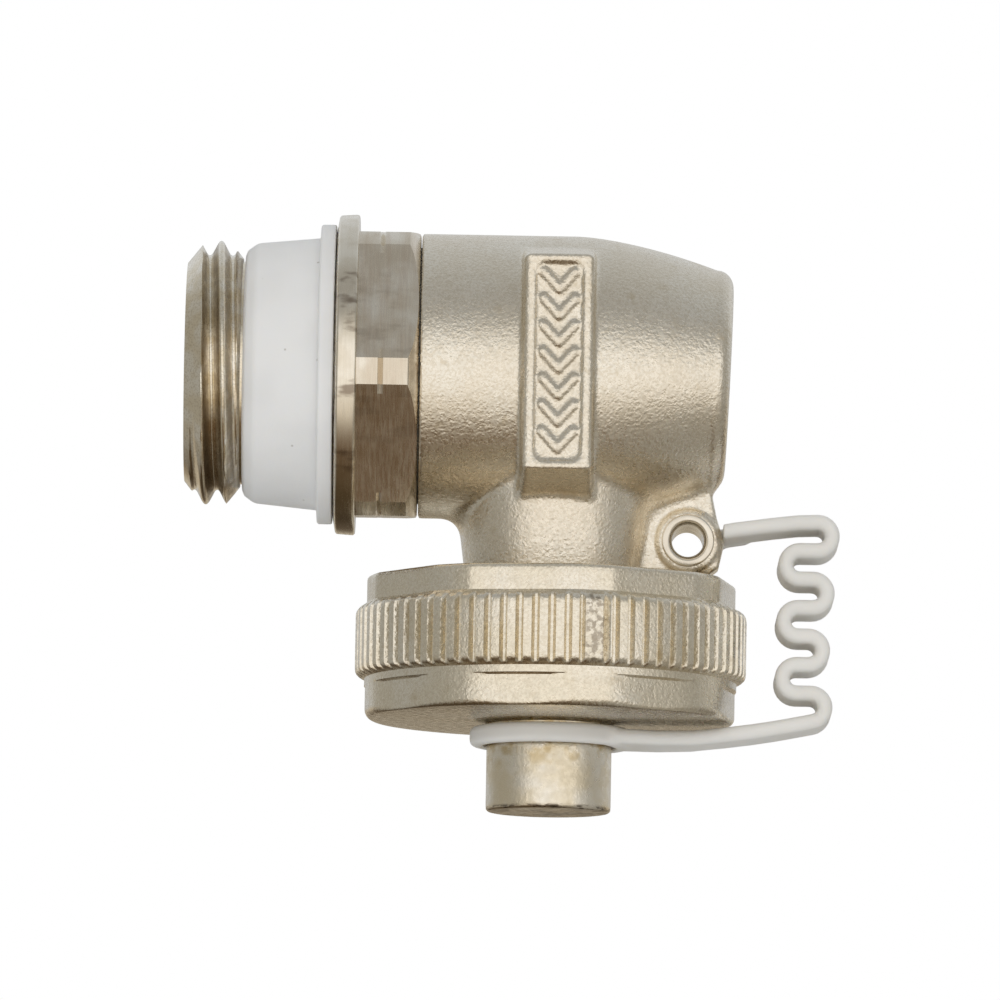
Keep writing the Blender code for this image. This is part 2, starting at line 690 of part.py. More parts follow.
def build_cap(finishes, parent):
    low_band = flatted_circle(CAP_R, LOW_FLAT_DISTANCE)
    levels = (
        (KNURL_BOTTOM + 0.4, 1.0),
        (CAP_WALL_BOTTOM, 1.0),
        (CAP_BOTTOM, CAP_BOTTOM_R / CAP_R),
    )
    cap = loft(
        "outlet_cap", [[(u * scale, v * scale, z) for u, v in low_band] for z, scale in levels],
        finishes["plated"], parent=parent,
    )
    top = flatted_circle(CAP_R, TOP_FLAT_DISTANCE)
    top_levels = ((KNURL_TOP - 0.4, 1.0), (CAP_TOP - 0.35, 1.0), (CAP_TOP, 0.975))
    top_rings = [[(u * scale, v * scale, z) for u, v in top] for z, scale in top_levels]
    middle = (OUTLET_X, 0, 0)
    top_band = loft("cap_top_band", top_rings, location=middle)
    knurl = prism("cap_knurl", knurl_outline(), KNURL_BOTTOM, KNURL_TOP, upright, location=middle)
    post_outline = [
        (CAP_BOTTOM + 0.7, 0),
        (CAP_BOTTOM + 0.7, POST_R - 0.1),
        (STRAP_RING_TOP + 0.15, POST_R - 0.1),
        (STRAP_RING_BOTTOM - 0.1, POST_R - 0.1),
        (STRAP_RING_BOTTOM - 0.25, POST_R),
        (POST_BOTTOM + 0.4, POST_R),
        (POST_BOTTOM, POST_R - 0.4),
        (POST_BOTTOM, 0),
    ]
    post = lathe("cap_post", "Z", post_outline, LARGE, location=(OUTLET_X, 0, 0))
    bore = [
        (CAP_TOP + 0.5, 0),
        (CAP_TOP + 0.5, CAP_BORE_R + 0.4),
        (CAP_TOP - 0.6, CAP_BORE_R),
        (CAP_FLOOR, CAP_BORE_R),
        (CAP_FLOOR, 0),
    ]
    cap_bore = lathe("cap_bore", "Z", bore, LARGE, location=(OUTLET_X, 0, 0))
    # The nut's ridge runs midway between two turns of the spout's ridge.
    nut_ridge = thread_ridge(
        "cap_nut_ridge", "Z", SPOUT_RIDGE_START + PIPE_PITCH / 2, 2.2, PIPE_PITCH,
        (CAP_BORE_R + 0.15, OUTLET_MAJOR_R - PIPE_DEPTH + 0.28), (1.4, 0.2), PIPE_THREAD_SIDES, middle,
    )
    combine(cap, "UNION", [knurl, top_band, post])
    combine(cap, "DIFFERENCE", [cap_bore])
    combine(cap, "UNION", [nut_ridge])
    low, high = CAP_FLOOR + 0.15, SPOUT_END - 0.15
    gasket = [(low, 0), (low, CAP_SEAL_R), (high, CAP_SEAL_R), (high, 0)]
    lathe("cap_seal", "Z", gasket, LARGE, finishes["fibre"], parent=parent)


def arc(centre, radius, start_deg, end_deg, steps):
    """Points of an arc in the XZ plane; 0 degrees is +X and 90 is +Z."""
    angles = [math.radians(start_deg + (end_deg - start_deg) * i / steps) for i in range(steps + 1)]
    return [(centre[0] + radius * math.cos(a), centre[1] + radius * math.sin(a)) for a in angles]


def strap_route():
    """The middle line of the strap in the XZ plane, from the lug to the ring round the post."""
    radius = BEND_STEP / 2
    route = [(32.9, -12.15), (36.0, -11.87)]
    for bend in range(BEND_COUNT):
        level = FIRST_BEND_Z - BEND_STEP * bend
        if bend % 2 == 0:
            last = bend == BEND_COUNT - 1
            route += arc((RIGHT_BEND_X, level), radius, 90, -75 if last else -90, 6)
        else:
            route += arc((LEFT_BEND_X, level), radius, 90, 270, 6)
    return route + [(36.6, -27.9), (33.3, -28.4), (29.3, -28.62), (25.0, -28.55), (24.3, -28.5)]


def ribbon_outline(route, thickness):
    """The route made into a closed outline of constant thickness."""
    sides = [[], []]
    for i, (x, z) in enumerate(route):
        before, after = route[max(i - 1, 0)], route[min(i + 1, len(route) - 1)]
        dx, dz = after[0] - before[0], after[1] - before[1]
        length = math.hypot(dx, dz)
        for side, sign in zip(sides, (1, -1)):
            side.append((x - sign * dz / length * thickness / 2, z + sign * dx / length * thickness / 2))
    return sides[0] + sides[1][::-1]


def build_strap(finish, parent):
    """The captive strap: a ring round the post, a folded ribbon and an eye on the rivet."""
    half = STRAP_WIDTH / 2
    ribbon = ribbon_outline(strap_route(), STRAP_THICKNESS)
    strap = prism("strap", ribbon, -half, half, along_y, finish, parent=parent)
    ring = [
        (STRAP_RING_BOTTOM, 0),
        (STRAP_RING_BOTTOM, STRAP_RING_R - 0.2),
        (STRAP_RING_BOTTOM + 0.4, STRAP_RING_R),
        (STRAP_RING_TOP - 0.4, STRAP_RING_R),
        (STRAP_RING_TOP, STRAP_RING_R - 0.2),
        (STRAP_RING_TOP, 0),
    ]
    ring_disc = lathe("strap_ring_disc", "Z", ring, LARGE, location=(OUTLET_X, 0, 0))
    low, high = STRAP_RING_BOTTOM - 1, STRAP_RING_TOP + 1
    hole = [(low, 0), (low, STRAP_RING_BORE_R), (high, STRAP_RING_BORE_R), (high, 0)]
    ring_hole = lathe("strap_ring_hole", "Z", hole, LARGE, location=(OUTLET_X, 0, 0))
    rivet = (RIVET_X, 0, RIVET_Z)
    eye_outline = [(EYE_FRONT_Y, 0), (EYE_FRONT_Y, EYE_R), (EYE_BACK_Y, EYE_R), (EYE_BACK_Y, 0)]
    eye = lathe("strap_eye", "Y", eye_outline, SMALL, location=rivet)
    tab_outline = [(RIVET_X, RIVET_Z + 1.5), (34.0, -11.75), (34.0, -12.25), (RIVET_X, RIVET_Z - 1.0)]
    tab = prism("strap_tab", tab_outline, EYE_FRONT_Y + 0.1, EYE_BACK_Y - 0.4, along_y)
    hole = [(0, 0), (0, LUG_HOLE_R), (5, LUG_HOLE_R), (5, 0)]
    eye_hole = lathe("strap_eye_hole", "Y", hole, SMALL, location=rivet)
    combine(strap, "UNION", [ring_disc, eye, tab])
    return combine(strap, "DIFFERENCE", [ring_hole, eye_hole])


def build():
    clear_scene()
    finishes = {
        "plated": material("nickel_plated_brass", PLATED_BRASS, 0.38, 1.0),
        "brass": material("bare_brass", BRASS, 0.3, 1.0),
        "steel": material("spring_steel", STEEL, 0.3, 1.0),
        "white": material("white_plastic", WHITE_PLASTIC, 0.5, 0.0),
        "natural": material("natural_plastic", NATURAL_PLASTIC, 0.45, 0.0),
        "rubber": material("black_rubber", BLACK_RUBBER, 0.6, 0.0),
        "fibre": material("red_fibre", RED_FIBRE, 0.8, 0.0),
    }
    nipple_axis = axis_empty("nipple_axis", (0, 0, 0))
    swivel_axis = axis_empty("swivel_axis", (0, 0, 0))
    stem_axis = axis_empty("stem_axis", (0, 0, 0))
    outlet_axis = axis_empty("outlet_axis", (OUTLET_X, 0, 0))
    build_nipple(finishes["plated"], nipple_axis)
    build_collar(finishes["white"], nipple_axis)
    build_swivel_parts(finishes, nipple_axis)
    build_body(finishes["plated"], swivel_axis)
    build_stop_ring(finishes["steel"], swivel_axis)
    build_rivet(finishes["plated"], swivel_axis)
    build_stem(finishes, stem_axis, stem_axis)
    build_cap(finishes, outlet_axis)
    build_strap(finishes["white"], swivel_axis)


build()
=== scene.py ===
"""Looks of the swivelling fill and drain valve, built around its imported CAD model.

Lengths are in millimetres, and MM turns them into Blender's metres. +X runs from the inlet's
thread to the key end, the outlet points down, and the camera looks along +Y from a little below.
"""

import json
import math

import bmesh
import bpy
import numpy as np
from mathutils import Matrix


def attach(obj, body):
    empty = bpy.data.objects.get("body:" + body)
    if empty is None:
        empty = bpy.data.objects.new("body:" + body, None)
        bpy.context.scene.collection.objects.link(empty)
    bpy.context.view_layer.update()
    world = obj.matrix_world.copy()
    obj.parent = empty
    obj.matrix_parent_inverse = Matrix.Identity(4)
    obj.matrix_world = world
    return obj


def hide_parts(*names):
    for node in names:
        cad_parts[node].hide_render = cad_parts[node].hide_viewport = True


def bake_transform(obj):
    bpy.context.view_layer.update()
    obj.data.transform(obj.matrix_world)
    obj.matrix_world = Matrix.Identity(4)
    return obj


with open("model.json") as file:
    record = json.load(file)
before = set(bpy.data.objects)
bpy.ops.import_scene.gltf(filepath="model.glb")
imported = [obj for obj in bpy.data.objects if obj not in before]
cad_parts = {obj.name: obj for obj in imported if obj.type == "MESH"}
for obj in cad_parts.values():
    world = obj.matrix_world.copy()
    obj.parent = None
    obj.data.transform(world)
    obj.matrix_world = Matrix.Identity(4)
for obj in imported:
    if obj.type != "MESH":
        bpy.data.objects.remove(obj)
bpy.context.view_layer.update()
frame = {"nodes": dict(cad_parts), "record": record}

import openvdb
from mathutils import Matrix, Vector

MM = 0.001

# Whitworth pipe thread, shared by the G 1/2 inlet and the G 3/4 outlet
PITCH = 1.814
THREAD_DEPTH = 1.162
TRIANGLE_HEIGHT = 0.96049 * PITCH
INLET_MAJOR_R = 20.955 / 2
OUTLET_MAJOR_R = 26.441 / 2
THREAD_ROWS = 22
THREAD_COLUMNS = 240
FINE = 180

# Nipple
NIPPLE_START = -10.5
INLET_THREAD_END = -6.1
INLET_CREST_X = -9.28
NIPPLE_BORE_R = 5.5
COLLAR_SEAT_R = 8.85
SPIGOT_R = 7.75
FLANGE_START = 1.35
FLANGE_END = 3.1
FLANGE_R = 12.75
HEX_END = 7.98
HEX_ACROSS_FLATS = 22.45
HEX_TURNED_R = 12.4
HEX_GROOVE_X = 5.0
HEX_GROOVE_HALF = 0.22
HEX_CHAMFER_X = 7.15
HEX_TURN = math.radians(5.2)
HEX_BORE_R = 8.5

# Valve body
BODY_START = 8.08
BODY_R = 11.3
BODY_END = 32.6
END_TILT = math.tan(math.radians(1.9))
OUTLET_X = 18.8
NECK_R = 7.1
SPOUT_TOP = -16.4
SPOUT_END = -24.3
OUTLET_CREST_Z = -22.9
PLATE_FRONT = -11.95
PLATE_RECESS = 0.32
PLATE_MIDDLE_X = 18.95
PLATE_HALF_WIDTH = 2.8
RECESS_MIDDLE_X = 18.98
RECESS_HALF_WIDTH = 1.8
RECESS_HALF_HEIGHT = 7.8
ARROW_HALF_LINE = 0.36

# Outlet cap
CAP_TOP = -16.2
KNURL_TOP = -18.4
KNURL_BOTTOM = -24.2
CAP_BOTTOM = -27.4
CAP_R = 14.75
CAP_BOTTOM_R = 14.2
CAP_BORE_R = 13.4
CAP_FLOOR = -25.9
RIBS = 76
GRIP_ROOT_R = 15.02
GRIP_CREST_R = 15.5
PAD_TURN = math.radians(12.6)
LOW_BAND_END = -26.6
POST_R = 4.95
POST_BOTTOM = -34.6

# Rivet and strap
RIVET_X = 29.5
RIVET_Z = -13.0
STRAP_THICKNESS = 1.2
STRAP_HALF_WIDTH = 3.3
RING_MIDDLE_Z = -28.68
RING_R = 6.3
RING_BORE_R = 5.25
BEND_STEP = 2.265
FIRST_BEND_Z = -12.55
RUN_START_X = 32.3

# View and floor; the floor and the camera's distance are in metres
VIEW_TARGET = (14.576, 0, -9.787)
VIEW_ELEVATION = math.radians(6.3)
VIEW_ROLL = math.radians(0.9963)
VIEW_DISTANCE = 1.0
VIEW_LENS = 453.6
FLOOR_HALF_SIDE = 14.0
FLOOR_LEVEL = -1.15


# ---------------------------------------------------------------- materials

def new_material(name):
    made = bpy.data.materials.new(name)
    made.use_nodes = True
    made.node_tree.nodes.clear()
    return made


class Shader:
    """A small helper that adds and links shader nodes."""

    def __init__(self, name):
        self.material = new_material(name)
        self.tree = self.material.node_tree
        self.output = self.tree.nodes.new("ShaderNodeOutputMaterial")
        self.bsdf = self.tree.nodes.new("ShaderNodeBsdfPrincipled")
        self.tree.links.new(self.bsdf.outputs["BSDF"], self.output.inputs["Surface"])
        self.place = self.tree.nodes.new("ShaderNodeTexCoord").outputs["Object"]

    def put(self, socket, value):
        """Links a node's output to a socket, or sets the socket to a constant."""
        if isinstance(value, bpy.types.NodeSocket):
            self.tree.links.new(value, socket)
        else:
            socket.default_value = value

    def scaled(self, scale, shift=(0, 0, 0)):
        node = self.tree.nodes.new("ShaderNodeMapping")
        self.put(node.inputs["Vector"], self.place)
        node.inputs["Location"].default_value = shift
        node.inputs["Scale"].default_value = scale
        return node.outputs["Vector"]

    def noise(self, size_mm, detail=2.0, stretch=(1, 1, 1), shift=(0, 0, 0), roughness=0.5):
        """Noise whose features are about size_mm across, longer along an axis with a stretch above 1."""
        node = self.tree.nodes.new("ShaderNodeTexNoise")
        scale = [1 / (size_mm * MM * s) for s in stretch]
        self.put(node.inputs["Vector"], self.scaled(scale, shift))
        node.inputs["Scale"].default_value = 1.0
        node.inputs["Detail"].default_value = detail
        node.inputs["Roughness"].default_value = roughness
        return node.outputs["Fac"]

    def spots(self, size_mm, shift=(0, 0, 0)):
        node = self.tree.nodes.new("ShaderNodeTexVoronoi")
        scale = [1 / (size_mm * MM)] * 3
        self.put(node.inputs["Vector"], self.scaled(scale, shift))
        node.inputs["Scale"].default_value = 1.0
        return node.outputs["Distance"]

    def ramp(self, value, low, high, to_low=0.0, to_high=1.0):
        node = self.tree.nodes.new("ShaderNodeMapRange")
        node.interpolation_type = "SMOOTHSTEP"
        self.put(node.inputs["Value"], value)
        node.inputs["From Min"].default_value = low
        node.inputs["From Max"].default_value = high
        node.inputs["To Min"].default_value = to_low
        node.inputs["To Max"].default_value = to_high
        return node.outputs["Result"]

    def math(self, operation, one, two=0.0):
        node = self.tree.nodes.new("ShaderNodeMath")
        node.operation = operation
        for socket, value in zip(node.inputs, (one, two)):
            self.put(socket, value)
        return node.outputs["Value"]

    def times(self, one, two):
        return self.math("MULTIPLY", one, two)

    def mix(self, share, one, two):
        node = self.tree.nodes.new("ShaderNodeMix")
        node.data_type = "RGBA"
        self.put(node.inputs["Factor"], share)
        for key, value in (("A", one), ("B", two)):
            socket = [s for s in node.inputs if s.name == key and s.type == "RGBA"][0]
            self.put(socket, (*value, 1.0) if isinstance(value, tuple) else value)
        return [s for s in node.outputs if s.type == "RGBA"][0]

    def bump(self, height, depth_mm, below=None):
        node = self.tree.nodes.new("ShaderNodeBump")
        self.put(node.inputs["Height"], height)
        node.inputs["Distance"].default_value = depth_mm * MM
        node.inputs["Strength"].default_value = 1.0
        if below is not None:
            self.put(node.inputs["Normal"], below)
        return node.outputs["Normal"]

    def part_of_place(self, axis):
        node = self.tree.nodes.new("ShaderNodeSeparateXYZ")
        self.put(node.inputs["Vector"], self.place)
        return node.outputs[axis]

    def edge_wear(self):
        """High on the crests of edges, from the geometry's pointiness."""
        node = self.tree.nodes.new("ShaderNodeNewGeometry")
        return self.ramp(node.outputs["Pointiness"], 0.51, 0.6)

    def finish(self, colour, roughness, normal=None, metallic=0.0, **constants):
        self.put(self.bsdf.inputs["Base Color"], (*colour, 1.0) if isinstance(colour, tuple) else colour)
        self.put(self.bsdf.inputs["Roughness"], roughness)
        self.put(self.bsdf.inputs["Metallic"], metallic)
        if normal is not None:
            self.put(self.bsdf.inputs["Normal"], normal)
        for key, value in constants.items():
            self.bsdf.inputs[key.replace("_", " ")].default_value = value
        return self.material


def thread_plating(name, along, centre_x, root_r, crest_r, from_along):
    """Plated thread: bright on crests and in roots, with painted shade darkening the flanks between them."""
    s = Shader(name)
    lines = [12.0, 12.0, 12.0]
    lines[along] = 1.0
    fine = s.noise(0.09, 2.0, stretch=lines)
    across = [
        s.math("SUBTRACT", s.part_of_place("X"), centre_x * MM) if i == 0 else s.part_of_place("XYZ"[i])
        for i in range(3) if i != along
    ]
    radius = s.math("SQRT", s.math("ADD", s.math("POWER", across[0], 2.0), s.math("POWER", across[1], 2.0)))
    low = s.ramp(radius, (root_r + 0.04) * MM, (root_r + 0.28) * MM)
    high = s.ramp(radius, (crest_r - 0.3) * MM, (crest_r - 0.06) * MM, 1.0, 0.0)
    past_start = s.ramp(s.part_of_place("XYZ"[along]), *from_along)
    painted_flank_shade = s.times(s.times(low, high), past_start)
    painted_flank_shade = s.times(painted_flank_shade, s.ramp(s.noise(0.9, 3.0, shift=(4, 4, 4)), 0.25, 0.6, 0.55, 1.0))
    chips = s.times(s.ramp(s.noise(0.16, 3.0, shift=(1, 8, 3)), 0.5, 0.62), 0.35)
    colour = s.mix(s.ramp(s.noise(1.4, 3.0), 0.35, 0.7), (0.80, 0.71, 0.55), NICKEL_PALE)
    colour = s.mix(chips, colour, (0.42, 0.35, 0.24))
    # Painted shade: darkens the colour of the thread's flanks, where they turn away from the light
    colour = s.mix(s.times(painted_flank_shade, 0.62), colour, (0.25, 0.19, 0.12))
    rough = s.math("ADD", s.ramp(fine, 0.3, 0.7, 0.13, 0.24), s.times(painted_flank_shade, 0.15))
    normal = s.bump(s.noise(0.2, 2.0, shift=(6, 1, 1)), 0.006, s.bump(fine, 0.003))
    return s.finish(colour, rough, normal, 1.0)


NICKEL = (0.86, 0.79, 0.67)
NICKEL_PALE = (0.90, 0.85, 0.75)
NICKEL_DULL = (0.72, 0.64, 0.51)
TARNISH = (0.50, 0.38, 0.19)


def plated_cast(name="plated_cast_nickel", tint=NICKEL, grain_mm=0.026, stain=0.35, worn_at=None):
    """Nickel plating over a grit-blasted casting: grainy, satin, stained, and worn dark round one spot."""
    s = Shader(name)
    cloudy = s.ramp(s.noise(4.5, 3.0), 0.35, 0.7)
    speckle = s.ramp(s.noise(0.2, 2.0), 0.44, 0.6)
    colour = s.mix(cloudy, tint, NICKEL_PALE)
    colour = s.mix(s.times(speckle, 0.55), colour, NICKEL_DULL)
    stains = s.times(s.ramp(s.noise(2.2, 4.0, shift=(3, 1, 7)), 0.6, 0.78), stain)
    colour = s.mix(stains, colour, TARNISH)
    colour = s.mix(s.times(s.edge_wear(), 0.35), colour, NICKEL_PALE)
    if worn_at is not None:
        aside = s.math("ABSOLUTE", s.math("SUBTRACT", s.part_of_place("X"), worn_at * MM))
        front = s.ramp(s.part_of_place("Y"), -14.5 * MM, -14.9 * MM)
        worn = s.times(s.ramp(aside, 0.6 * MM, 0.95 * MM, 1.0, 0.0), front)
        worn = s.times(worn, s.ramp(s.noise(0.45, 3.0, shift=(3, 3, 9)), 0.45, 0.6))
        colour = s.mix(s.times(worn, 0.6), colour, (0.22, 0.17, 0.12))
    rough = s.math("ADD", s.ramp(s.noise(0.5, 2.0), 0.3, 0.7, 0.23, 0.33), s.times(stains, 0.2))
    coarse = s.bump(s.noise(0.6, 2.0, shift=(5, 2, 1)), grain_mm * 0.9)
    middle = s.bump(s.noise(0.27, 1.0, shift=(2, 7, 4)), grain_mm * 1.5, coarse)
    grain = s.bump(s.noise(0.16, 1.0), grain_mm * 0.9, middle)
    return s.finish(colour, rough, grain, 1.0)


def plated_turned(name, along, tint, depth_mm=0.004, patchy=0.0, roughness=(0.16, 0.28), flat_tint=None):
    """Nickel plating over a turned surface: fine rings across the turning axis."""
    s = Shader(name)
    lines = [14.0, 14.0, 14.0]
    lines[along] = 1.0
    fine = s.noise(0.11, 2.0, stretch=lines)
    broad = s.noise(0.42, 2.0, stretch=lines, shift=(2, 9, 4))
    cloudy = s.ramp(s.noise(2.6, 3.0), 0.35, 0.7)
    colour = s.mix(cloudy, tint, NICKEL_PALE)
    colour = s.mix(s.times(s.ramp(broad, 0.4, 0.7), 0.25), colour, flat_tint or NICKEL_DULL)
    if patchy:
        across = [1.0, 1.0, 1.0]
        across[along] = 2.5
        front = s.ramp(s.part_of_place("Y"), -8 * MM, -10.5 * MM)
        blotches = s.ramp(s.noise(1.3, 3.0, stretch=across, shift=(8, 3, 2)), 0.52, 0.66)
        patches = s.times(s.times(front, blotches), patchy)
        colour = s.mix(patches, colour, (0.24, 0.18, 0.13))
    colour = s.mix(s.times(s.edge_wear(), 0.4), colour, NICKEL_PALE)
    rough = s.ramp(fine, 0.3, 0.7, *roughness)
    normal = s.bump(s.math("ADD", fine, s.times(broad, 0.8)), depth_mm)
    return s.finish(colour, rough, normal, 1.0)


def stained_post():
    """The cap's post: blasted plating with golden stains above and scuffs along the lower edge."""
    s = Shader("plated_post_nickel")
    height = s.part_of_place("Z")
    cloudy = s.ramp(s.noise(2.4, 3.0), 0.35, 0.7)
    colour = s.mix(cloudy, (0.82, 0.73, 0.56), NICKEL_PALE)
    upper = s.ramp(height, -32.5 * MM, -29.2 * MM)
    gold = s.times(s.ramp(s.noise(1.5, 4.0, shift=(1, 4, 2)), 0.46, 0.66), upper)
    colour = s.mix(s.times(gold, 0.75), colour, (0.55, 0.40, 0.16))
    rim = s.times(
        s.ramp(height, -34.65 * MM, -34.55 * MM), s.ramp(height, -34.45 * MM, -34.2 * MM, 1, 0)
    )
    scratches = s.noise(0.8, 3.0, stretch=(1.6, 1.6, 0.5), shift=(9, 9, 1))
    scuffs = s.times(s.ramp(scratches, 0.46, 0.56), rim)
    colour = s.mix(s.times(scuffs, 0.85), colour, (0.10, 0.07, 0.05))
    rough = s.ramp(s.noise(0.4, 2.0), 0.3, 0.7, 0.27, 0.40)
    coarse = s.bump(s.noise(0.45, 2.0, shift=(5, 2, 1)), 0.03)
    return s.finish(colour, rough, s.bump(s.noise(0.15, 2.0), 0.018, coarse), 1.0)


def moulded(name, colour, shade, roughness=(0.42, 0.55), bump_mm=0.006, specks=0.5):
    """Moulded plastic with a soft orange peel, slight colour drift and a few specks of dust."""
    s = Shader(name)
    drift = s.ramp(s.noise(6.0, 2.0), 0.35, 0.65)
    tone = s.mix(drift, colour, shade)
    dust = s.times(s.ramp(s.spots(2.3), 0.035, 0.06, 1.0, 0.0), specks)
    tone = s.mix(dust, tone, (0.34, 0.31, 0.26))
    rough = s.ramp(s.noise(0.9, 3.0), 0.3, 0.7, *roughness)
    peel = s.bump(s.noise(0.18, 3.0), bump_mm)
    return s.finish(
        tone, rough, peel, Subsurface_Weight=0.25, Subsurface_Scale=0.0006, Specular_IOR_Level=0.4,
        Subsurface_Radius=(1.0, 0.9, 0.75),
    )


def rubber():
    s = Shader("moulded_rubber")
    tone = s.mix(s.ramp(s.noise(0.8, 3.0), 0.3, 0.7), (0.018, 0.018, 0.02), (0.045, 0.044, 0.043))
    rough = s.ramp(s.noise(0.4, 2.0), 0.3, 0.7, 0.45, 0.65)
    return s.finish(tone, rough, s.bump(s.noise(0.15, 2.0), 0.008))


def fibre():
    s = Shader("pressed_fibre")
    strands = s.noise(0.18, 4.0, stretch=(5, 1.6, 1))
    tone = s.mix(s.ramp(strands, 0.3, 0.7), (0.30, 0.07, 0.04), (0.52, 0.17, 0.10))
    return s.finish(tone, s.ramp(strands, 0.3, 0.7, 0.7, 0.9), s.bump(strands, 0.02))


def spring_steel():
    s = Shader("bright_spring_steel")
    lines = s.noise(0.1, 2.0, stretch=(1, 12, 12))
    tone = s.mix(s.ramp(s.noise(1.5, 2.0), 0.3, 0.7), (0.52, 0.52, 0.53), (0.66, 0.66, 0.66))
    return s.finish(tone, s.ramp(lines, 0.3, 0.7, 0.18, 0.34), s.bump(lines, 0.003), 1.0)


def turned_brass():
    s = Shader("turned_brass")
    lines = s.noise(0.1, 2.0, stretch=(1, 12, 12))
    tone = s.mix(s.ramp(s.noise(1.8, 3.0), 0.35, 0.7), (0.80, 0.58, 0.24), (0.62, 0.42, 0.17))
    return s.finish(tone, s.ramp(lines, 0.3, 0.7, 0.18, 0.32), s.bump(lines, 0.004), 1.0)


# ------------------------------------------------------------- mesh builders

def on_axis(axis, along, radius, turn):
    """Points at an angle round an axis; a growing angle turns right-handed round +axis."""
    side, other = radius * np.sin(turn), radius * np.cos(turn)
    along = along + np.zeros_like(side)
    if axis == "X":
        return np.stack([along, -other, -side], -1)
    if axis == "Y":
        return np.stack([side, along, other], -1)
    return np.stack([side, -other, along], -1)


def make_piece(name, points, faces, finish, location=(0, 0, 0), sharp_deg=32):
    """A mesh piece from points in millimetres, welded, with its faces turned outwards."""
    mesh = bpy.data.meshes.new(name)
    placed = (np.asarray(points, float) + np.array(location)) * MM
    mesh.from_pydata(placed.tolist(), [], [list(f) for f in faces])
    work = bmesh.new()
    work.from_mesh(mesh)
    bmesh.ops.remove_doubles(work, verts=work.verts, dist=2e-7)
    bmesh.ops.dissolve_degenerate(work, edges=work.edges, dist=2e-7)
    bmesh.ops.recalc_face_normals(work, faces=work.faces)
    work.to_mesh(mesh)
    work.free()
    mesh.shade_smooth()
    mesh.set_sharp_from_angle(angle=math.radians(sharp_deg))
    mesh.materials.append(finish)
    made = bpy.data.objects.new(name, mesh)
    bpy.context.scene.collection.objects.link(made)
    return made


def grid_faces(rows, columns, close_rows=True, seam=0):
    """Quads of a grid that closes round its columns; the seam joins row i to row i + seam."""
    base = np.arange(rows - 1 + int(close_rows))
    following = (base + 1) % rows if close_rows else base + 1
    faces = []
    for one, two in zip(base, following):
        j = np.arange(columns)
        k = (j + 1) % columns
        shift = np.where(k == 0, seam, 0)
        one_k = np.minimum(one + shift, rows - 1)
        two_k = np.minimum(two + shift, rows - 1)
        if close_rows and two < one:
            one_k, two_k = np.full(columns, one), np.full(columns, two)
        corners = [one * columns + j, one_k * columns + k, two_k * columns + k, two * columns + j]
        faces.append(np.stack(corners, -1))
    return np.concatenate(faces)


def rounded(outline, steps=4):
    """A closed outline in which a third number at a point is the radius of its rounded corner."""
    points = []
    count = len(outline)
    for i, corner in enumerate(outline):
        here = np.array(corner[:2], float)
        if len(corner) < 3 or corner[2] <= 0:
            points.append(tuple(here))
            continue
        before = np.array(outline[i - 1][:2], float) - here
        after = np.array(outline[(i + 1) % count][:2], float) - here
        long_before, long_after = np.linalg.norm(before), np.linalg.norm(after)
        before, after = before / long_before, after / long_after
        half = math.acos(max(-1.0, min(1.0, float(before @ after)))) / 2
        reach = min(corner[2] / math.tan(half), 0.49 * long_before, 0.49 * long_after)
        radius = reach * math.tan(half)
        bisector = (before + after) / np.linalg.norm(before + after)
        centre = here + bisector * radius / math.sin(half)
        start, end = here + before * reach - centre, here + after * reach - centre
        sweep = math.pi - 2 * half
        for step in range(steps + 1):
            share = step / steps
            arm = (math.sin((1 - share) * sweep) * start + math.sin(share * sweep) * end) / math.sin(sweep)
            points.append(tuple(centre + arm))
    return points


def turned(name, axis, outline, finish, columns=FINE, location=(0, 0, 0), steps=4):
    """A turned piece from a closed (along, radius, corner radius) outline."""
    outline = rounded(outline, steps)
    turn = math.tau * np.arange(columns) / columns
    points = np.concatenate([on_axis(axis, along, radius, turn) for along, radius in outline])
    return make_piece(name, points, grid_faces(len(outline), columns), finish, location)


def soft_min(a, b, k):
    h = np.clip(k - np.abs(a - b), 0, None) / k
    return np.minimum(a, b) - h * h * k / 4


def soft_max(a, b, k):
    return -soft_min(-a, -b, k)


def thread_form(along, phase, major_r, start, start_r, end, end_r, slope=1.25):
    """Radius of an outer Whitworth thread with rounded crests and roots and both ends chamfered."""
    away = np.abs(phase - np.round(phase)) * 2
    radius = major_r + TRIANGLE_HEIGHT / 6 - TRIANGLE_HEIGHT * away
    radius = soft_min(radius, major_r, 0.28)
    radius = soft_max(radius, major_r - THREAD_DEPTH, 0.28)
    radius = np.minimum(radius, start_r + slope * (along - start))
    return np.minimum(radius, end_r + slope * (end - along))


def thread_rows(axis, start, end, crest_at, radius_of, columns=THREAD_COLUMNS):
    """Rows of points that follow the helix; the thread's two ends are cut square."""
    share = np.arange(columns) / columns
    first = math.floor((start - crest_at) / PITCH) - 1
    last = math.ceil((end - crest_at) / PITCH) + 1
    steps = np.arange(first * THREAD_ROWS, last * THREAD_ROWS + 1)
    along = crest_at + PITCH * (steps[:, None] / THREAD_ROWS + share[None, :])
    along = np.clip(along, start, end)
    radius = radius_of(along, (along - crest_at) / PITCH - share[None, :])
    return on_axis(axis, along, radius, math.tau * share[None, :] + 0 * along)


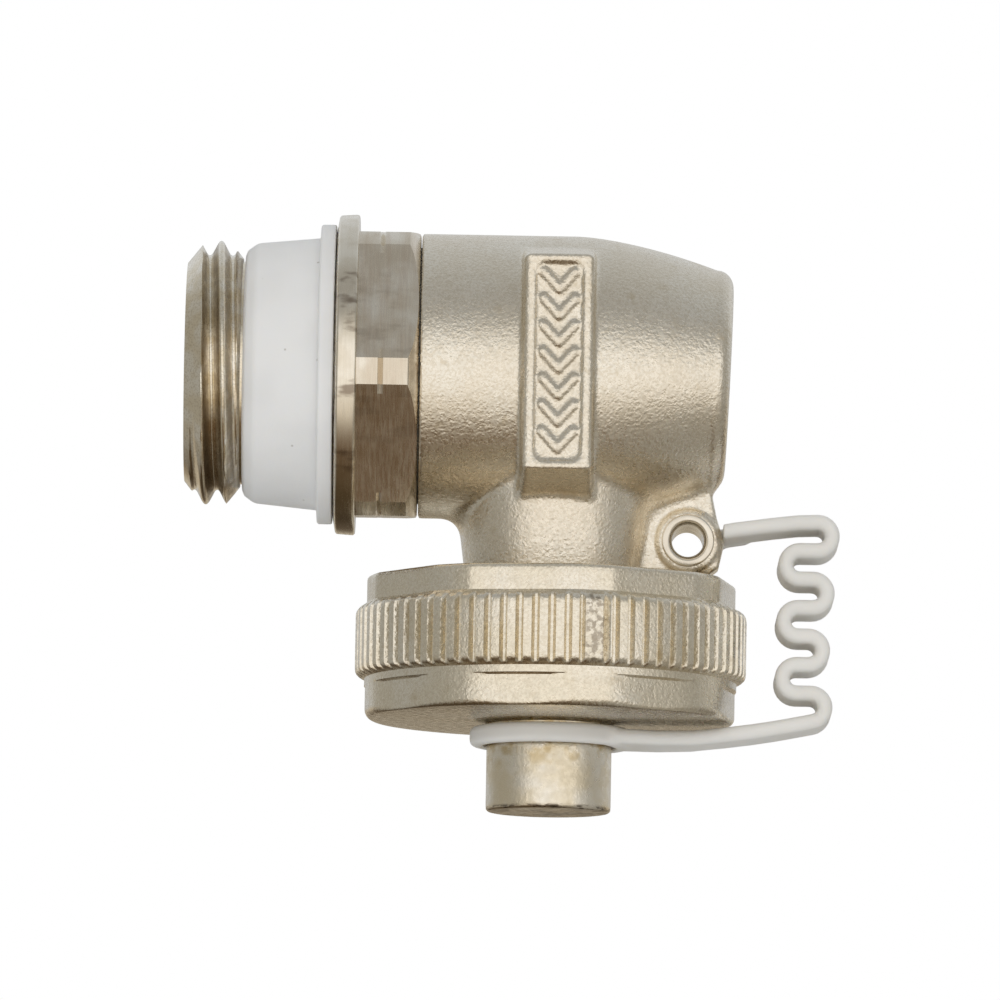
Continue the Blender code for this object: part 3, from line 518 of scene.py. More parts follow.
def threaded(name, axis, start, end, crest_at, radius_of, rest, finish, location=(0, 0, 0)):
    """A piece with a thread from start to end, closed by a turned outline that runs back to the start."""
    columns = THREAD_COLUMNS
    rows = thread_rows(axis, start, end, crest_at, radius_of)
    turn = math.tau * np.arange(columns) / columns
    back = np.stack([on_axis(axis, along, radius, turn) for along, radius in rounded(rest)])
    points = np.concatenate([rows, back]).reshape(-1, 3)
    count = len(rows)
    faces = grid_faces(count, columns, close_rows=False, seam=THREAD_ROWS)
    tail = grid_faces(len(back) + 1, columns, close_rows=False) + (count - 1) * columns
    j = np.arange(columns)
    k = (j + 1) % columns
    last = (count + len(back) - 1) * columns
    closing = np.stack([last + j, last + k, k, j], -1)
    return make_piece(name, points, np.concatenate([faces, tail, closing]), finish, location)


def polygon_distance(u, v, corners):
    """Signed distance from points to a closed outline, negative inside."""
    corners = np.asarray(corners, float)
    nearest = np.full(u.shape, 1e9)
    inside = np.zeros(u.shape, bool)
    for (u1, v1), (u2, v2) in zip(corners, np.roll(corners, -1, 0)):
        du, dv = u2 - u1, v2 - v1
        share = np.clip(((u - u1) * du + (v - v1) * dv) / (du * du + dv * dv), 0, 1)
        gap = (u - u1 - share * du) ** 2 + (v - v1 - share * dv) ** 2
        nearest = np.minimum(nearest, gap)
        if v1 != v2:
            crosses = ((v1 > v) != (v2 > v)) & (u < du * (v - v1) / dv + u1)
            inside ^= crosses
    return np.where(inside, -1, 1) * np.sqrt(nearest)


def line_distance(u, v, points):
    """Distance from points to an open line through the given points."""
    nearest = np.full(u.shape, 1e9)
    for (u1, v1), (u2, v2) in zip(points, points[1:]):
        du, dv = u2 - u1, v2 - v1
        share = np.clip(((u - u1) * du + (v - v1) * dv) / (du * du + dv * dv), 0, 1)
        nearest = np.minimum(nearest, (u - u1 - share * du) ** 2 + (v - v1 - share * dv) ** 2)
    return np.sqrt(nearest)


def skinned(name, field, low, high, step, finish, rounds=1, sharp_deg=50):
    """The surface where a field of (x, y, z) is zero, found on a grid and then drawn exactly onto it."""
    axes = [np.arange(a, b + step, step) for a, b in zip(low, high)]
    x, y, z = np.meshgrid(*axes, indexing="ij")
    values = field(x, y, z).astype(np.float32)
    grid = openvdb.FloatGrid(10.0)
    grid.copyFromArray(values)
    points, quads = grid.convertToQuads(0.0)
    points = np.asarray(points, float) * step + np.array(low, float)
    for level in range(rounds + 1):
        if level:
            points, quads = split_quads(points, quads)
        points = settle(points, field, step / 2 ** level)
    return make_piece(name, points, quads[:, ::-1], finish, sharp_deg=sharp_deg)


def split_quads(points, quads):
    """Every quad becomes four."""
    edges = np.concatenate([quads[:, [i, (i + 1) % 4]] for i in range(4)])
    low_high = np.sort(edges, axis=1)
    unique, index = np.unique(low_high, axis=0, return_inverse=True)
    index = index.reshape(4, -1)
    middles = points[unique].mean(1)
    centres = points[quads].mean(1)
    first_middle = len(points)
    first_centre = first_middle + len(middles)
    centre = first_centre + np.arange(len(quads))
    faces = []
    for i in range(4):
        after, before = first_middle + index[i], first_middle + index[i - 1]
        faces.append(np.stack([quads[:, i], after, centre, before], -1))
    return np.concatenate([points, middles, centres]), np.concatenate(faces)


def settle(points, field, reach):
    """Moves points along the field's slope onto its zero, no further than reach."""
    start = points.copy()
    h = 0.01
    for _ in range(4):
        x, y, z = points.T
        here = field(x, y, z)
        ahead = (field(x + h, y, z), field(x, y + h, z), field(x, y, z + h))
        slope = np.stack([(value - here) / h for value in ahead], -1)
        size = np.maximum((slope ** 2).sum(1), 0.2)
        points = points - slope * (here / size)[:, None] * 0.9
        offset = points - start
        length = np.linalg.norm(offset, axis=1, keepdims=True)
        points = start + offset * np.minimum(1, reach / np.maximum(length, 1e-9))
    return points


# ------------------------------------------------------------------- pieces

def inlet_radius(along, phase):
    return thread_form(along, phase, INLET_MAJOR_R, NIPPLE_START, 8.7, INLET_THREAD_END, 9.1)


def build_nipple(thread_finish, hex_finish, flange_finish):
    """The threaded stub, the flange with the spigot, and the hexagon between them."""
    rest = [
        (INLET_THREAD_END, COLLAR_SEAT_R, 0), (1.0, COLLAR_SEAT_R), (1.0, NIPPLE_BORE_R),
        (NIPPLE_START + 0.5, NIPPLE_BORE_R), (NIPPLE_START, NIPPLE_BORE_R + 0.5),
    ]
    stub = threaded(
        "inlet_thread", "X", NIPPLE_START, INLET_THREAD_END, INLET_CREST_X, inlet_radius, rest, thread_finish
    )
    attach(stub, "nipple")
    outline = [
        (0.8, NIPPLE_BORE_R), (0.8, COLLAR_SEAT_R), (FLANGE_START, COLLAR_SEAT_R), (FLANGE_START, 11.6, 0.2),
        (FLANGE_START + 0.18, FLANGE_R - 0.1, 0.25), (FLANGE_END, FLANGE_R, 0.22), (FLANGE_END, 10.9),
        (HEX_END - 0.1, 10.9), (HEX_END - 0.1, SPIGOT_R),
    ]
    for middle, width, floor in ((10.25, 1.3, 6.75), (11.8, 1.1, 7.0), (13.3, 1.3, 6.75)):
        low, high = middle - width / 2, middle + width / 2
        outline += [(low, SPIGOT_R, 0.12), (low, floor, 0.15), (high, floor, 0.15), (high, SPIGOT_R, 0.12)]
    outline += [
        (14.3, SPIGOT_R, 0.3), (14.3, 5.4, 0.1), (14.8, 4.9, 0.1), (14.8, 4.6, 0.1), (14.7, 4.5), (9.0, 4.5),
        (8.0, NIPPLE_BORE_R),
    ]
    flange = turned("nipple_flange_and_spigot", "X", outline, flange_finish)
    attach(flange, "nipple")
    hexagon = build_hexagon(hex_finish)
    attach(hexagon, "nipple")
    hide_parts("threaded_nipple")


def build_hexagon(finish):
    """Six flats cut on a turned bar with a groove and a chamfered end, on one grid of fine columns."""
    flat = HEX_ACROSS_FLATS / 2
    corner_half = math.acos(flat / HEX_TURNED_R)
    turn = []
    for side in range(6):
        middle = math.radians(30 + 60 * side) + HEX_TURN
        turn += list(np.linspace(middle - corner_half, middle + corner_half, 15))
        turn += list(np.linspace(middle + corner_half, middle + math.radians(60) - corner_half, 9)[1:-1])
    turn = np.array(turn)
    away = (turn - HEX_TURN) % (math.pi / 3) - math.pi / 6
    bar_r = flat / np.cos(away)
    plain = np.ones_like(turn)
    rows = [(x, HEX_TURNED_R) for x in (FLANGE_END - 0.3, FLANGE_END, FLANGE_END + 0.6, HEX_GROOVE_X - 0.4)]
    for offset in np.linspace(-HEX_GROOVE_HALF, HEX_GROOVE_HALF, 7):
        rows.append((HEX_GROOVE_X + offset, HEX_TURNED_R - 0.22 * (1 - abs(offset) / HEX_GROOVE_HALF)))
    rows += [(HEX_GROOVE_X + 0.4, HEX_TURNED_R), (HEX_CHAMFER_X - 0.2, HEX_TURNED_R)]
    points = [on_axis("X", x * plain, np.minimum(bar_r, r), turn) for x, r in rows]
    reach, drop, power = HEX_END - HEX_CHAMFER_X, 1.28, 1.3
    begins = ((HEX_TURNED_R - np.minimum(bar_r, HEX_TURNED_R)) / drop) ** (1 / power)
    for share in np.linspace(0, 1, 11):
        along = begins + (1 - begins) * share
        points.append(on_axis("X", HEX_CHAMFER_X + reach * along, HEX_TURNED_R - drop * along ** power, turn))
    points += [on_axis("X", HEX_END, HEX_BORE_R, turn), on_axis("X", FLANGE_END - 0.3, HEX_BORE_R, turn)]
    faces = grid_faces(len(points), len(turn))
    return make_piece("spanner_hexagon", np.concatenate(points), faces, finish, sharp_deg=14)


def build_collar(finish):
    outline = [
        (-5.9, 9.0), (-5.9, 9.35, 0.1), (-5.75, 9.75, 0.5), (-4.95, 10.33, 1.2), (-0.1, 10.8, 0.1),
        (0.05, 10.85, 0.1), (0.05, 11.9, 0.22), (1.27, 11.9, 0.15), (1.27, 9.0),
    ]
    collar = turned("white_sealing_collar", "X", outline, finish, steps=6)
    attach(collar, "nipple")
    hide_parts("sealing_collar")


def barrel_outline():
    """The casting's outer profile from its front edge to the rounded rim at the key end."""
    points = [(BODY_START, -6.0), (BODY_START, 11.1), (BODY_START + 0.1, 11.28), (BODY_START + 0.3, BODY_R)]
    shoulder, rim = 20.4, 31.25
    for share in np.linspace(0, 1, 12):
        points.append((shoulder + (rim - shoulder) * share, BODY_R - 2.5 * share ** 1.6))
    for angle in np.radians((15, 30, 45, 60, 75, 90)):
        points.append((rim + 1.35 * math.sin(angle), 8.8 - 1.5 * (1 - math.cos(angle))))
    return points + [(BODY_END, -6.0)]


BARREL = barrel_outline()
BARREL_BORE = [
    (7.0, -6.0), (7.0, 10.4), (9.1, 10.4), (9.1, 8.05), (14.6, 8.05), (14.6, 7.2), (21.3, 7.2),
    (21.7, 5.3), (26.2, 5.3), (26.2, 6.0), (31.0, 6.0), (31.0, 6.4), (31.15, 6.4), (31.15, 6.9),
    (31.85, 6.9), (31.85, 6.4), (32.4, 6.4), (33.3, 7.1), (33.3, -6.0),
]
OUTLET_BORE = [
    (-3.0, -5.0), (-3.0, 4.8), (-16.0, 4.8), (-18.4, 8.8), (-23.9, 8.8), (-25.0, 9.8), (-25.0, -5.0),
]
PLATE_SIDE = [(-11.7, -8.35), (-11.7, 8.25), (-6.5, 9.3), (-4.0, 8.0), (-4.0, -8.0), (-7.0, -10.05)]
LUG = [
    (24.8, -8.0), (30.6, -7.0), (31.05, -9.1), (31.5, -11.2), (32.1, -13.05), (31.7, -14.9), (31.0, -15.4),
    (24.8, -15.4),
]
ARROWS = [-6.3, -4.2, -2.1, 0.0, 2.1, 4.2, 6.3]


def body_field(x, y, z):
    """Negative inside the casting."""
    shear = END_TILT * z * np.clip((x - 24) / 8, 0, 1)
    radius = np.hypot(y, z)
    body = polygon_distance(x - shear, radius, BARREL)
    rho = np.hypot(x - OUTLET_X, y)
    neck = soft_max(rho - NECK_R - 0.13 * (z + 14.5), np.maximum(z + 3, SPOUT_TOP - 0.5 - z), 0.1)
    body = soft_min(body, neck, 1.7 - 1.25 * np.clip((np.abs(y) - 2.0) / 3.0, 0, 1))
    spout = soft_max(rho - 12.0, np.abs(z - (SPOUT_TOP + SPOUT_END) / 2) + (SPOUT_END - SPOUT_TOP) / 2, 0.6)
    body = soft_min(body, spout, 0.5)
    plate = polygon_distance(y, z, PLATE_SIDE) - 0.25
    plate = soft_max(plate, np.abs(x - PLATE_MIDDLE_X) - PLATE_HALF_WIDTH - 0.02 * (y - PLATE_FRONT), 0.75)
    body = soft_min(body, plate, 0.55)
    lug = soft_max(polygon_distance(x, z, LUG) - 0.3, np.abs(y) - 1.7, 0.5)
    body = soft_min(body, lug, 1.0)
    from_rivet = np.hypot(x - RIVET_X, z - RIVET_Z)
    boss = soft_max(from_rivet - 2.55, np.abs(y) - 2.1, 0.5)
    body = soft_min(body, boss, 0.25)
    recess_aside = np.abs(x - RECESS_MIDDLE_X) - RECESS_HALF_WIDTH
    recess = soft_max(recess_aside, np.abs(z + 0.05) - RECESS_HALF_HEIGHT, 1.0)
    recess = soft_max(recess, y - (PLATE_FRONT + PLATE_RECESS), 0.3)
    body = soft_max(body, -recess, 0.4)
    arrows = np.full(x.shape, 9.0)
    for middle in ARROWS:
        line = [(17.75, middle + 0.75), (RECESS_MIDDLE_X, middle - 0.6), (20.2, middle + 0.75)]
        arrows = np.minimum(arrows, line_distance(x, z, line))
    arrows = soft_max(arrows - ARROW_HALF_LINE, PLATE_FRONT + 0.06 - y, 0.4)
    arrows = np.maximum(arrows, y + 10.5)
    body = soft_min(body, arrows, 0.3)
    body = soft_max(body, 1.6 - from_rivet, 0.15)
    body = soft_max(body, -polygon_distance(x - shear, radius, BARREL_BORE), 0.2)
    return soft_max(body, -polygon_distance(z, rho, OUTLET_BORE), 0.2)


def outlet_radius(along, phase):
    return thread_form(along, phase, OUTLET_MAJOR_R, SPOUT_END, 11.7, SPOUT_TOP - 0.25, 11.9)


def build_body(finish, thread_finish):
    low, high, step = (7.4, -12.7, -25.0), (33.6, 12.2, 12.0), 0.32
    body = skinned("cast_valve_body", body_field, low, high, step, finish)
    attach(body, "valve_body")
    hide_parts("valve_body")
    top = SPOUT_TOP - 0.25
    rest = [(SPOUT_END, 11.2), (top, 11.2)]
    place = (OUTLET_X, 0, 0)
    thread = threaded(
        "spout_thread", "Z", SPOUT_END, top, OUTLET_CREST_Z, outlet_radius, rest, thread_finish, place
    )
    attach(thread, "valve_body")


def flatted(turn, radius, distance):
    """Radius of a round with eight flats on it."""
    middle = math.radians(-10)
    away = (turn - middle + math.pi / 8) % (math.pi / 4) - math.pi / 8
    return np.minimum(radius, distance / np.cos(away))


def grip_ribs(turn):
    """How much of a rib's height each angle has, from 0 to 1, with the plain pad in place of some ribs."""
    share = (turn / (math.tau / RIBS)) % 1.0
    rib = np.clip((0.44 - np.abs(share - 0.5)) / 0.2, 0, 1)
    rib = rib * rib * (3 - 2 * rib)
    from_pad = np.abs((turn - PAD_TURN + math.pi) % math.tau - math.pi) * 15.2
    pad = np.clip((0.95 - from_pad) / 0.25, 0, 1)
    clear = np.clip((from_pad - 1.0) / 0.2, 0, 1)
    return np.maximum(rib * clear, pad * 0.85)


def post_outline():
    """The cap's post as (z, radius), from its neck under the cap to the middle of its tip."""
    post = [(CAP_BOTTOM - 0.15, 5.2), (CAP_BOTTOM - 0.3, 4.85), (-29.2, 4.85), (-29.32, 4.9), (-29.5, POST_R)]
    post += [(z, POST_R) for z in np.linspace(-30.2, POST_BOTTOM + 0.5, 7)]
    for angle in np.radians((22, 45, 68, 90)):
        post.append((POST_BOTTOM + 0.3 * (1 - math.sin(angle)), POST_R - 0.3 * (1 - math.cos(angle))))
    return post + [(POST_BOTTOM, 4.0), (POST_BOTTOM, 0.0)]


def cap_rows(turn):
    """The cap as rows of (z, radius at each angle), from the middle of its floor to its post's tip."""
    rib = grip_ribs(turn)
    top_band = soft_min(flatted(turn, CAP_R, 14.157), CAP_R + 0 * turn, 0.2)
    low_band = soft_min(flatted(turn, CAP_R + 0.3, 14.4), CAP_R + 0 * turn, 0.4)
    plain = np.ones_like(turn)
    rows = [
        (CAP_FLOOR, 0 * plain),
        (CAP_FLOOR, 13.1 * plain),
        (CAP_FLOOR + 0.3, CAP_BORE_R * plain),
        (CAP_TOP - 0.55, CAP_BORE_R * plain),
        (CAP_TOP - 0.05, 13.75 * plain),
        (CAP_TOP, 13.85 * plain),
    ]
    for z, inset in ((CAP_TOP, 0.32), (CAP_TOP - 0.07, 0.14), (CAP_TOP - 0.2, 0.03), (CAP_TOP - 0.4, 0.0)):
        rows.append((z, top_band - inset))
    rows += [(z, top_band) for z in np.linspace(CAP_TOP - 0.8, KNURL_TOP + 0.12, 4)]
    rib_height = GRIP_CREST_R - GRIP_ROOT_R
    for depth, out, height in (
        (0.0, 0.35, 0.0), (0.12, 0.75, 0.1), (0.24, 0.95, 0.35), (0.38, 1.0, 0.62), (0.55, 1.0, 0.86),
        (0.75, 1.0, 0.97), (1.0, 1.0, 1.0),
    ):
        root = top_band + (GRIP_ROOT_R - top_band) * out
        rows.append((KNURL_TOP - depth, root + rib_height * rib * height))
    rows += [(z, GRIP_ROOT_R + rib_height * rib) for z in np.linspace(KNURL_TOP - 1.6, KNURL_BOTTOM + 1.3, 5)]
    for depth, out, height in (
        (0.8, 1.0, 1.0), (0.55, 1.0, 0.95), (0.36, 1.0, 0.78), (0.22, 0.95, 0.5), (0.1, 0.8, 0.2),
        (0.0, 0.35, 0.0),
    ):
        root = CAP_R + (GRIP_ROOT_R - CAP_R) * out
        rows.append((KNURL_BOTTOM + depth, root + rib_height * rib * height))
    rows += [(KNURL_BOTTOM - drop, CAP_R * plain) for drop in (0.06, 0.35, 0.62)]
    rows += [(KNURL_BOTTOM - 0.7, soft_max(low_band, CAP_R - 0.1, 0.05)), (KNURL_BOTTOM - 0.8, low_band)]
    rows += [(z, low_band) for z in np.linspace(KNURL_BOTTOM - 1.1, LOW_BAND_END, 4)]
    chamfer_from = LOW_BAND_END - 0.15 - (CAP_R - low_band) * 0.9
    for share in np.linspace(0, 1, 9):
        z = chamfer_from + (CAP_BOTTOM + 0.02 - chamfer_from) * math.sin(share * math.pi / 2)
        rows.append((z, low_band - (low_band - CAP_BOTTOM_R) * (1 - math.cos(share * math.pi / 2)) * 0.9))
    rows += [(CAP_BOTTOM - drop, r * plain) for drop, r in ((0.05, 13.2), (0.12, 11.5), (0.15, 8.0))]
    return rows + [(z, radius * plain) for z, radius in post_outline()]


def build_cap(finish, post_finish, thread_finish):
    columns = RIBS * 12
    turn = math.tau * np.arange(columns) / columns
    rows = cap_rows(turn)
    points = np.concatenate([on_axis("Z", z, radius, turn) for z, radius in rows])
    faces = grid_faces(len(rows), columns, close_rows=False)
    place = (OUTLET_X, 0, 0)
    cap = make_piece("knurled_outlet_cap", points, faces, finish, place)
    cap.data.materials.append(post_finish)
    for face in cap.data.polygons:
        if face.center.z < (CAP_BOTTOM - 0.6) * MM:
            face.material_index = 1
    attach(cap, "cap")
    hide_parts("outlet_cap")
    start, end = CAP_FLOOR + 0.7, CAP_TOP - 0.8
    crest_r = OUTLET_MAJOR_R - THREAD_DEPTH + 0.28

    def inner(along, phase):
        away = np.abs(phase - np.round(phase)) * 2
        radius = soft_max(crest_r + TRIANGLE_HEIGHT * away - 0.2, crest_r, 0.28)
        radius = soft_min(radius, CAP_BORE_R + 0.02, 0.2)
        radius = np.maximum(radius, CAP_BORE_R + 0.1 - 1.6 * (along - start))
        return np.maximum(radius, CAP_BORE_R + 0.1 - 1.6 * (end - along))

    rest = [(end, CAP_BORE_R + 0.3), (start, CAP_BORE_R + 0.3)]
    crest_at = OUTLET_CREST_Z + PITCH / 2
    thread = threaded("cap_thread", "Z", start, end, crest_at, inner, rest, thread_finish, place)
    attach(thread, "cap")


def bend(centre, radius, start_deg, end_deg, steps=14):
    angles = np.radians(np.linspace(start_deg, end_deg, steps))
    return [(centre[0] + radius * math.cos(a), centre[1] + radius * math.sin(a)) for a in angles]


def strap_route():
    """The strap's middle line in the XZ plane, from the lug to the ring round the post."""
    rights, lefts = (39.78, 39.45, 39.15, 39.4), (38.4, 38.3, 38.25)
    route = [(31.2, -12.75), (32.2, -12.35), (33.2, -12.15), (34.6, -11.95), (36.2, -11.72), (38.2, -11.48)]
    for index in range(7):
        level = FIRST_BEND_Z - BEND_STEP * index
        if index % 2 == 0:
            last = index == 6
            route += bend((rights[index // 2], level), BEND_STEP / 2, 90, -77 if last else -90)
        else:
            route += bend((lefts[index // 2], level), BEND_STEP / 2, 90, 270)
    return route + [
        (38.2, -27.54), (36.6, -27.85), (34.8, -28.15), (32.6, -28.45), (30.0, -28.74), (27.4, -28.8),
        (24.0, -28.72),
    ]


STRAP_ROUTE = strap_route()


def strap_field(x, y, z):
    """Negative inside the captive strap."""
    if x.ndim == 3:
        sheet = line_distance(x[:, 0, :], z[:, 0, :], STRAP_ROUTE)[:, None, :]
    else:
        sheet = line_distance(x, z, STRAP_ROUTE)
    half_width = STRAP_HALF_WIDTH + 0.9 * np.clip((31.0 - x) / 8, 0, 1) * (z < -25)
    strap = soft_max(sheet - STRAP_THICKNESS / 2, np.abs(y) - half_width, 0.75)
    strap = np.maximum(strap, (RUN_START_X - x) * (z > -20) - 9 * (z <= -20))
    rho = np.hypot(x - OUTLET_X, y)
    ring = soft_max(rho - RING_R, np.abs(z - RING_MIDDLE_Z) - 0.78, 0.6)
    strap = soft_min(strap, ring, 0.5)
    from_rivet = np.hypot(x - RIVET_X, z - RIVET_Z)
    eye = soft_max(from_rivet - 2.7, np.abs(y - 2.9) - 0.58, 0.35)
    arm = line_distance(x, z, [(RIVET_X, RIVET_Z), (32.2, -12.35), (34.4, -12.0)]) - 0.6
    arm = soft_max(arm, np.maximum(np.abs(y - 2.75) - 0.5, x - 34.2), 0.3)
    strap = soft_min(strap, soft_min(eye, arm, 0.6), 0.5)
    strap = soft_max(strap, 1.62 - from_rivet, 0.15)
    return soft_max(strap, RING_BORE_R - rho, 0.2)


def build_strap(finish):
    strap = skinned("captive_strap", strap_field, (11.9, -7.0, -29.8), (41.4, 7.0, -9.4), 0.3, finish)
    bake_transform(strap)
    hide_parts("strap")


def build_rivet(finish):
    """A tubular rivet with its front end rolled outwards, and the washer under its rear rim."""
    front, back = -2.1, 4.05
    outline = [
        (front - 0.05, 1.45), (front - 0.06, 2.05, 0.12), (front - 0.42, 2.12, 0.3), (front - 0.5, 1.5, 0.35),
        (front + 0.1, 1.27, 0.5), (back - 0.1, 1.27, 0.5), (back + 0.5, 1.5, 0.35), (back + 0.42, 2.12, 0.3),
        (back + 0.06, 2.05, 0.12), (back + 0.05, 1.45),
    ]
    rivet = turned("tubular_rivet", "Y", outline, finish, 96, (RIVET_X, 0, RIVET_Z), 6)
    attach(rivet, "valve_body")
    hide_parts("strap_rivet")
    washer = [(3.6, 1.65, 0.05), (3.6, 2.6, 0.1), (3.95, 2.6, 0.1), (3.95, 1.65, 0.05)]
    plain = turned("plain_rivet_washer", "Y", washer, finish, 96, (RIVET_X, 0, RIVET_Z))
    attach(plain, "valve_body")
    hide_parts("rivet_washer")


def dress_cad_nodes(by_slot):
    """The sealed inner pieces keep their CAD shapes and get their materials."""
    slots = {part["node"]: part["material_slot"] for part in frame["record"]["subparts"]}
    for node, made in frame["nodes"].items():
        made.data.materials.clear()
        made.data.materials.append(by_slot[slots[node]])
        made.data.shade_smooth()
        made.data.set_sharp_from_angle(angle=math.radians(35))


# ------------------------------------------------------------ light and view

FRONT_WATTS = 1.9
TOP_WATTS = 0.9
LOW_WATTS = 0.12
# Light that reaches the part, by angle round X: 0 is in front, 90 above and -90 below
LIGHT_ROUND_X = (
    (-180, (0.60, 0.54, 0.43)), (-170, (0.46, 0.40, 0.31)), (-160, (0.13, 0.10, 0.07)),
    (-135, (0.055, 0.04, 0.025)), (-105, (0.075, 0.052, 0.028)), (-75, (0.115, 0.078, 0.045)),
    (-60, (0.165, 0.112, 0.07)), (-48, (0.34, 0.29, 0.23)), (-34, (0.84, 0.78, 0.69)),
    (-14, (1.04, 1.01, 0.97)), (14, (1.04, 1.01, 0.97)), (26, (0.80, 0.78, 0.74)),
    (40, (0.40, 0.40, 0.39)), (60, (0.36, 0.36, 0.355)), (90, (0.46, 0.47, 0.47)),
    (130, (0.58, 0.60, 0.62)), (160, (0.7, 0.72, 0.74)), (180, (0.5, 0.5, 0.5)),
)
# How much of the side colour covers that light, from -X at 0 to +X at 1
SIDE_COVER = ((0.0, 1.0), (0.08, 1.0), (0.24, 0.0), (0.86, 0.0), (0.98, 0.9), (1.0, 1.0))
SIDE_COLOUR = (0.36, 0.35, 0.32)
LOW_RIGHT_CARD = (0.33, 0.31, 0.27)


def fill_ramp(ramp, stops):
    """Gives a colour ramp its stops, each a position and a colour."""
    elements = ramp.color_ramp.elements
    while len(elements) > 1:
        elements.remove(elements[-1])
    for index, (position, colour) in enumerate(stops):
        stop = elements[0] if index == 0 else elements.new(position)
        stop.position = position
        stop.color = (*colour, 1.0)


def world_light():
    """A studio of soft light: one broad box in front, grey above and to the sides, warm dark below."""
    world = bpy.data.worlds.new("studio")
    bpy.context.scene.world = world
    world.use_nodes = True
    tree = world.node_tree
    tree.nodes.clear()
    add = tree.nodes.new
    link = tree.links.new
    place = add("ShaderNodeTexCoord").outputs["Generated"]
    split = add("ShaderNodeSeparateXYZ")
    link(place, split.inputs["Vector"])

    def math_node(operation, one, two=0.0):
        node = add("ShaderNodeMath")
        node.operation = operation
        for socket, value in zip(node.inputs, (one, two)):
            if isinstance(value, bpy.types.NodeSocket):
                link(value, socket)
            else:
                socket.default_value = value
        return node.outputs["Value"]

    def mix_in(share, light, colour):
        """Covers the light with a plain colour, by share."""
        node = add("ShaderNodeMix")
        node.data_type = "RGBA"
        link(share, node.inputs["Factor"])
        one, two = [s for s in node.inputs if s.type == "RGBA"]
        link(light, one)
        two.default_value = (*colour, 1.0)
        return [s for s in node.outputs if s.type == "RGBA"][0]

    def span(axis, low, high):
        node = add("ShaderNodeMapRange")
        link(split.outputs[axis], node.inputs["Value"])
        node.inputs["From Min"].default_value = low
        node.inputs["From Max"].default_value = high
        return node.outputs["Result"]

    behind = math_node("MULTIPLY", split.outputs["Y"], -1.0)
    angle = math_node("ARCTAN2", split.outputs["Z"], behind)
    round_x = add("ShaderNodeValToRGB")
    link(math_node("ADD", math_node("DIVIDE", angle, math.tau), 0.5), round_x.inputs["Fac"])
    fill_ramp(round_x, [(degrees / 360 + 0.5, colour) for degrees, colour in LIGHT_ROUND_X])
    sides = add("ShaderNodeValToRGB")
    link(math_node("ADD", math_node("MULTIPLY", split.outputs["X"], 0.5), 0.5), sides.inputs["Fac"])
    fill_ramp(sides, [(position, (cover, cover, cover)) for position, cover in SIDE_COVER])
    light = mix_in(sides.outputs["Color"], round_x.outputs["Color"], SIDE_COLOUR)
    low_right = math_node("MULTIPLY", span("X", 0.1, 0.5), span("Z", -0.3, -0.6))
    light = mix_in(low_right, light, LOW_RIGHT_CARD)
    lit = add("ShaderNodeBackground")
    link(light, lit.inputs["Color"])
    seen = add("ShaderNodeBackground")
    seen.inputs["Color"].default_value = (1.0, 1.0, 1.0, 1.0)
    path = add("ShaderNodeLightPath")
    chosen = add("ShaderNodeMixShader")
    link(path.outputs["Is Camera Ray"], chosen.inputs["Fac"])
    link(lit.outputs["Background"], chosen.inputs[1])
    link(seen.outputs["Background"], chosen.inputs[2])
    output = add("ShaderNodeOutputWorld")
    link(chosen.outputs["Shader"], output.inputs["Surface"])


def build_floor():
    """A plain pale floor, far enough down that a view from below still sees the part."""
    mesh = bpy.data.meshes.new("studio_floor")
    around = ((-1, -1), (1, -1), (1, 1), (-1, 1))
    corners = [(FLOOR_HALF_SIDE * a, FLOOR_HALF_SIDE * b, FLOOR_LEVEL) for a, b in around]
    mesh.from_pydata(corners, [], [(0, 1, 2, 3)])
    floor = bpy.data.objects.new("studio_floor", mesh)
    bpy.context.scene.collection.objects.link(floor)
    mesh.materials.append(Shader("pale_floor").finish((0.90, 0.90, 0.89), 0.9))
    floor.visible_glossy = False


def add_softbox(name, location, target, size, watts, colour=(1, 1, 1)):
    data = bpy.data.lights.new(name, "AREA")
    data.shape = "RECTANGLE"
    data.size, data.size_y = size
    data.energy = watts
    data.color = colour
    light = bpy.data.objects.new(name, data)
    light.location = location
    light.rotation_euler = (Vector(target) - Vector(location)).to_track_quat("-Z", "Y").to_euler()
    bpy.context.scene.collection.objects.link(light)
    return light


def light_the_plastic():
    """Soft boxes that light matt surfaces from in front, above and below, and leave no mark on metal."""
    middle = Vector(VIEW_TARGET) * MM
    boxes = (
        ("front_box", (-0.15, -0.9, 0.12), 1.0, FRONT_WATTS),
        ("top_box", (0.1, -0.1, 0.8), 0.9, TOP_WATTS),
        ("low_box", (0.0, -0.08, -0.145), 0.5, LOW_WATTS),
    )
    for name, offset, size, watts in boxes:
        box = add_softbox(name, middle + Vector(offset), middle, (size, size), watts, (1.0, 0.985, 0.97))
        box.visible_glossy = False
        box.visible_camera = False


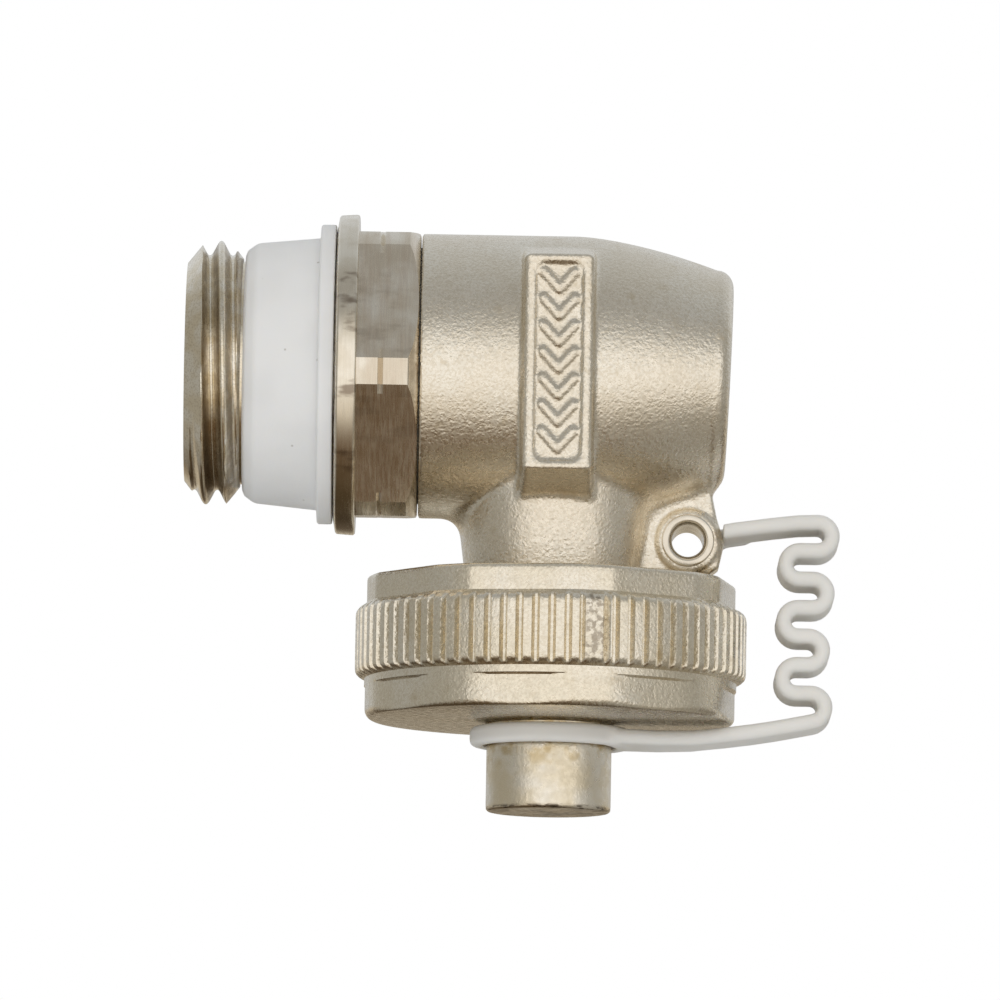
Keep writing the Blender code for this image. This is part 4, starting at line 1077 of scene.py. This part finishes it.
def place_camera():
    """Looks up from a little below, from 1 m away, with the part turned 1 degree in the picture."""
    target = Vector(VIEW_TARGET) * MM
    forward = Vector((0, math.cos(VIEW_ELEVATION), math.sin(VIEW_ELEVATION)))
    level_up = Vector((0, -math.sin(VIEW_ELEVATION), math.cos(VIEW_ELEVATION)))
    right = Vector((math.cos(VIEW_ROLL), 0, 0)) + level_up * math.sin(VIEW_ROLL)
    up = Vector((-math.sin(VIEW_ROLL), 0, 0)) + level_up * math.cos(VIEW_ROLL)
    data = bpy.data.cameras.new("camera")
    data.sensor_width = 36
    data.lens = VIEW_LENS
    camera = bpy.data.objects.new("camera", data)
    place = Matrix((right, up, -forward)).transposed().to_4x4()
    place.translation = target - forward * VIEW_DISTANCE
    camera.matrix_world = place
    bpy.context.scene.collection.objects.link(camera)
    bpy.context.scene.camera = camera


def build():
    place_camera()
    world_light()
    light_the_plastic()
    build_floor()
    cast = plated_cast()
    turned_ring = plated_turned("plated_turned_nickel", 0, (0.76, 0.69, 0.57), patchy=0.8)
    dress_cad_nodes({
        "plated_cast": cast,
        "plated_turned": turned_ring,
        "white_plastic": moulded("white_moulding", (0.885, 0.89, 0.895), (0.85, 0.855, 0.86), bump_mm=0.012),
        "natural_plastic": moulded("natural_moulding", (0.66, 0.62, 0.52), (0.60, 0.56, 0.46)),
        "black_rubber": rubber(),
        "spring_steel": spring_steel(),
        "brass": turned_brass(),
        "red_fibre": fibre(),
    })
    white = bpy.data.materials["white_moulding"]
    inlet_root_r, outlet_root_r = INLET_MAJOR_R - THREAD_DEPTH, OUTLET_MAJOR_R - THREAD_DEPTH
    thread = thread_plating(
        "plated_thread_nickel", 0, 0.0, inlet_root_r, INLET_MAJOR_R, (-9.2 * MM, -9.0 * MM)
    )
    flats = plated_turned(
        "plated_hexagon_nickel", 0, (0.74, 0.66, 0.54), 0.006, 0.25, (0.2, 0.34), (0.60, 0.47, 0.36)
    )
    upright_thread = thread_plating(
        "plated_outlet_thread", 2, OUTLET_X, outlet_root_r, OUTLET_MAJOR_R, (-25.0 * MM, -24.9 * MM)
    )
    build_nipple(thread, flats, turned_ring)
    build_collar(white)
    build_body(cast, upright_thread)
    cap_finish = plated_cast("plated_cap_nickel", (0.86, 0.79, 0.65), 0.022, 0.3, 22.2)
    build_cap(cap_finish, stained_post(), upright_thread)
    build_strap(moulded("white_strap_moulding", (0.875, 0.865, 0.84), (0.84, 0.83, 0.80), bump_mm=0.008))
    build_rivet(plated_turned("plated_rivet_nickel", 1, (0.80, 0.74, 0.64), 0.003, 0.2, (0.2, 0.3)))
    bpy.context.scene.view_settings.view_transform = "Standard"


build()
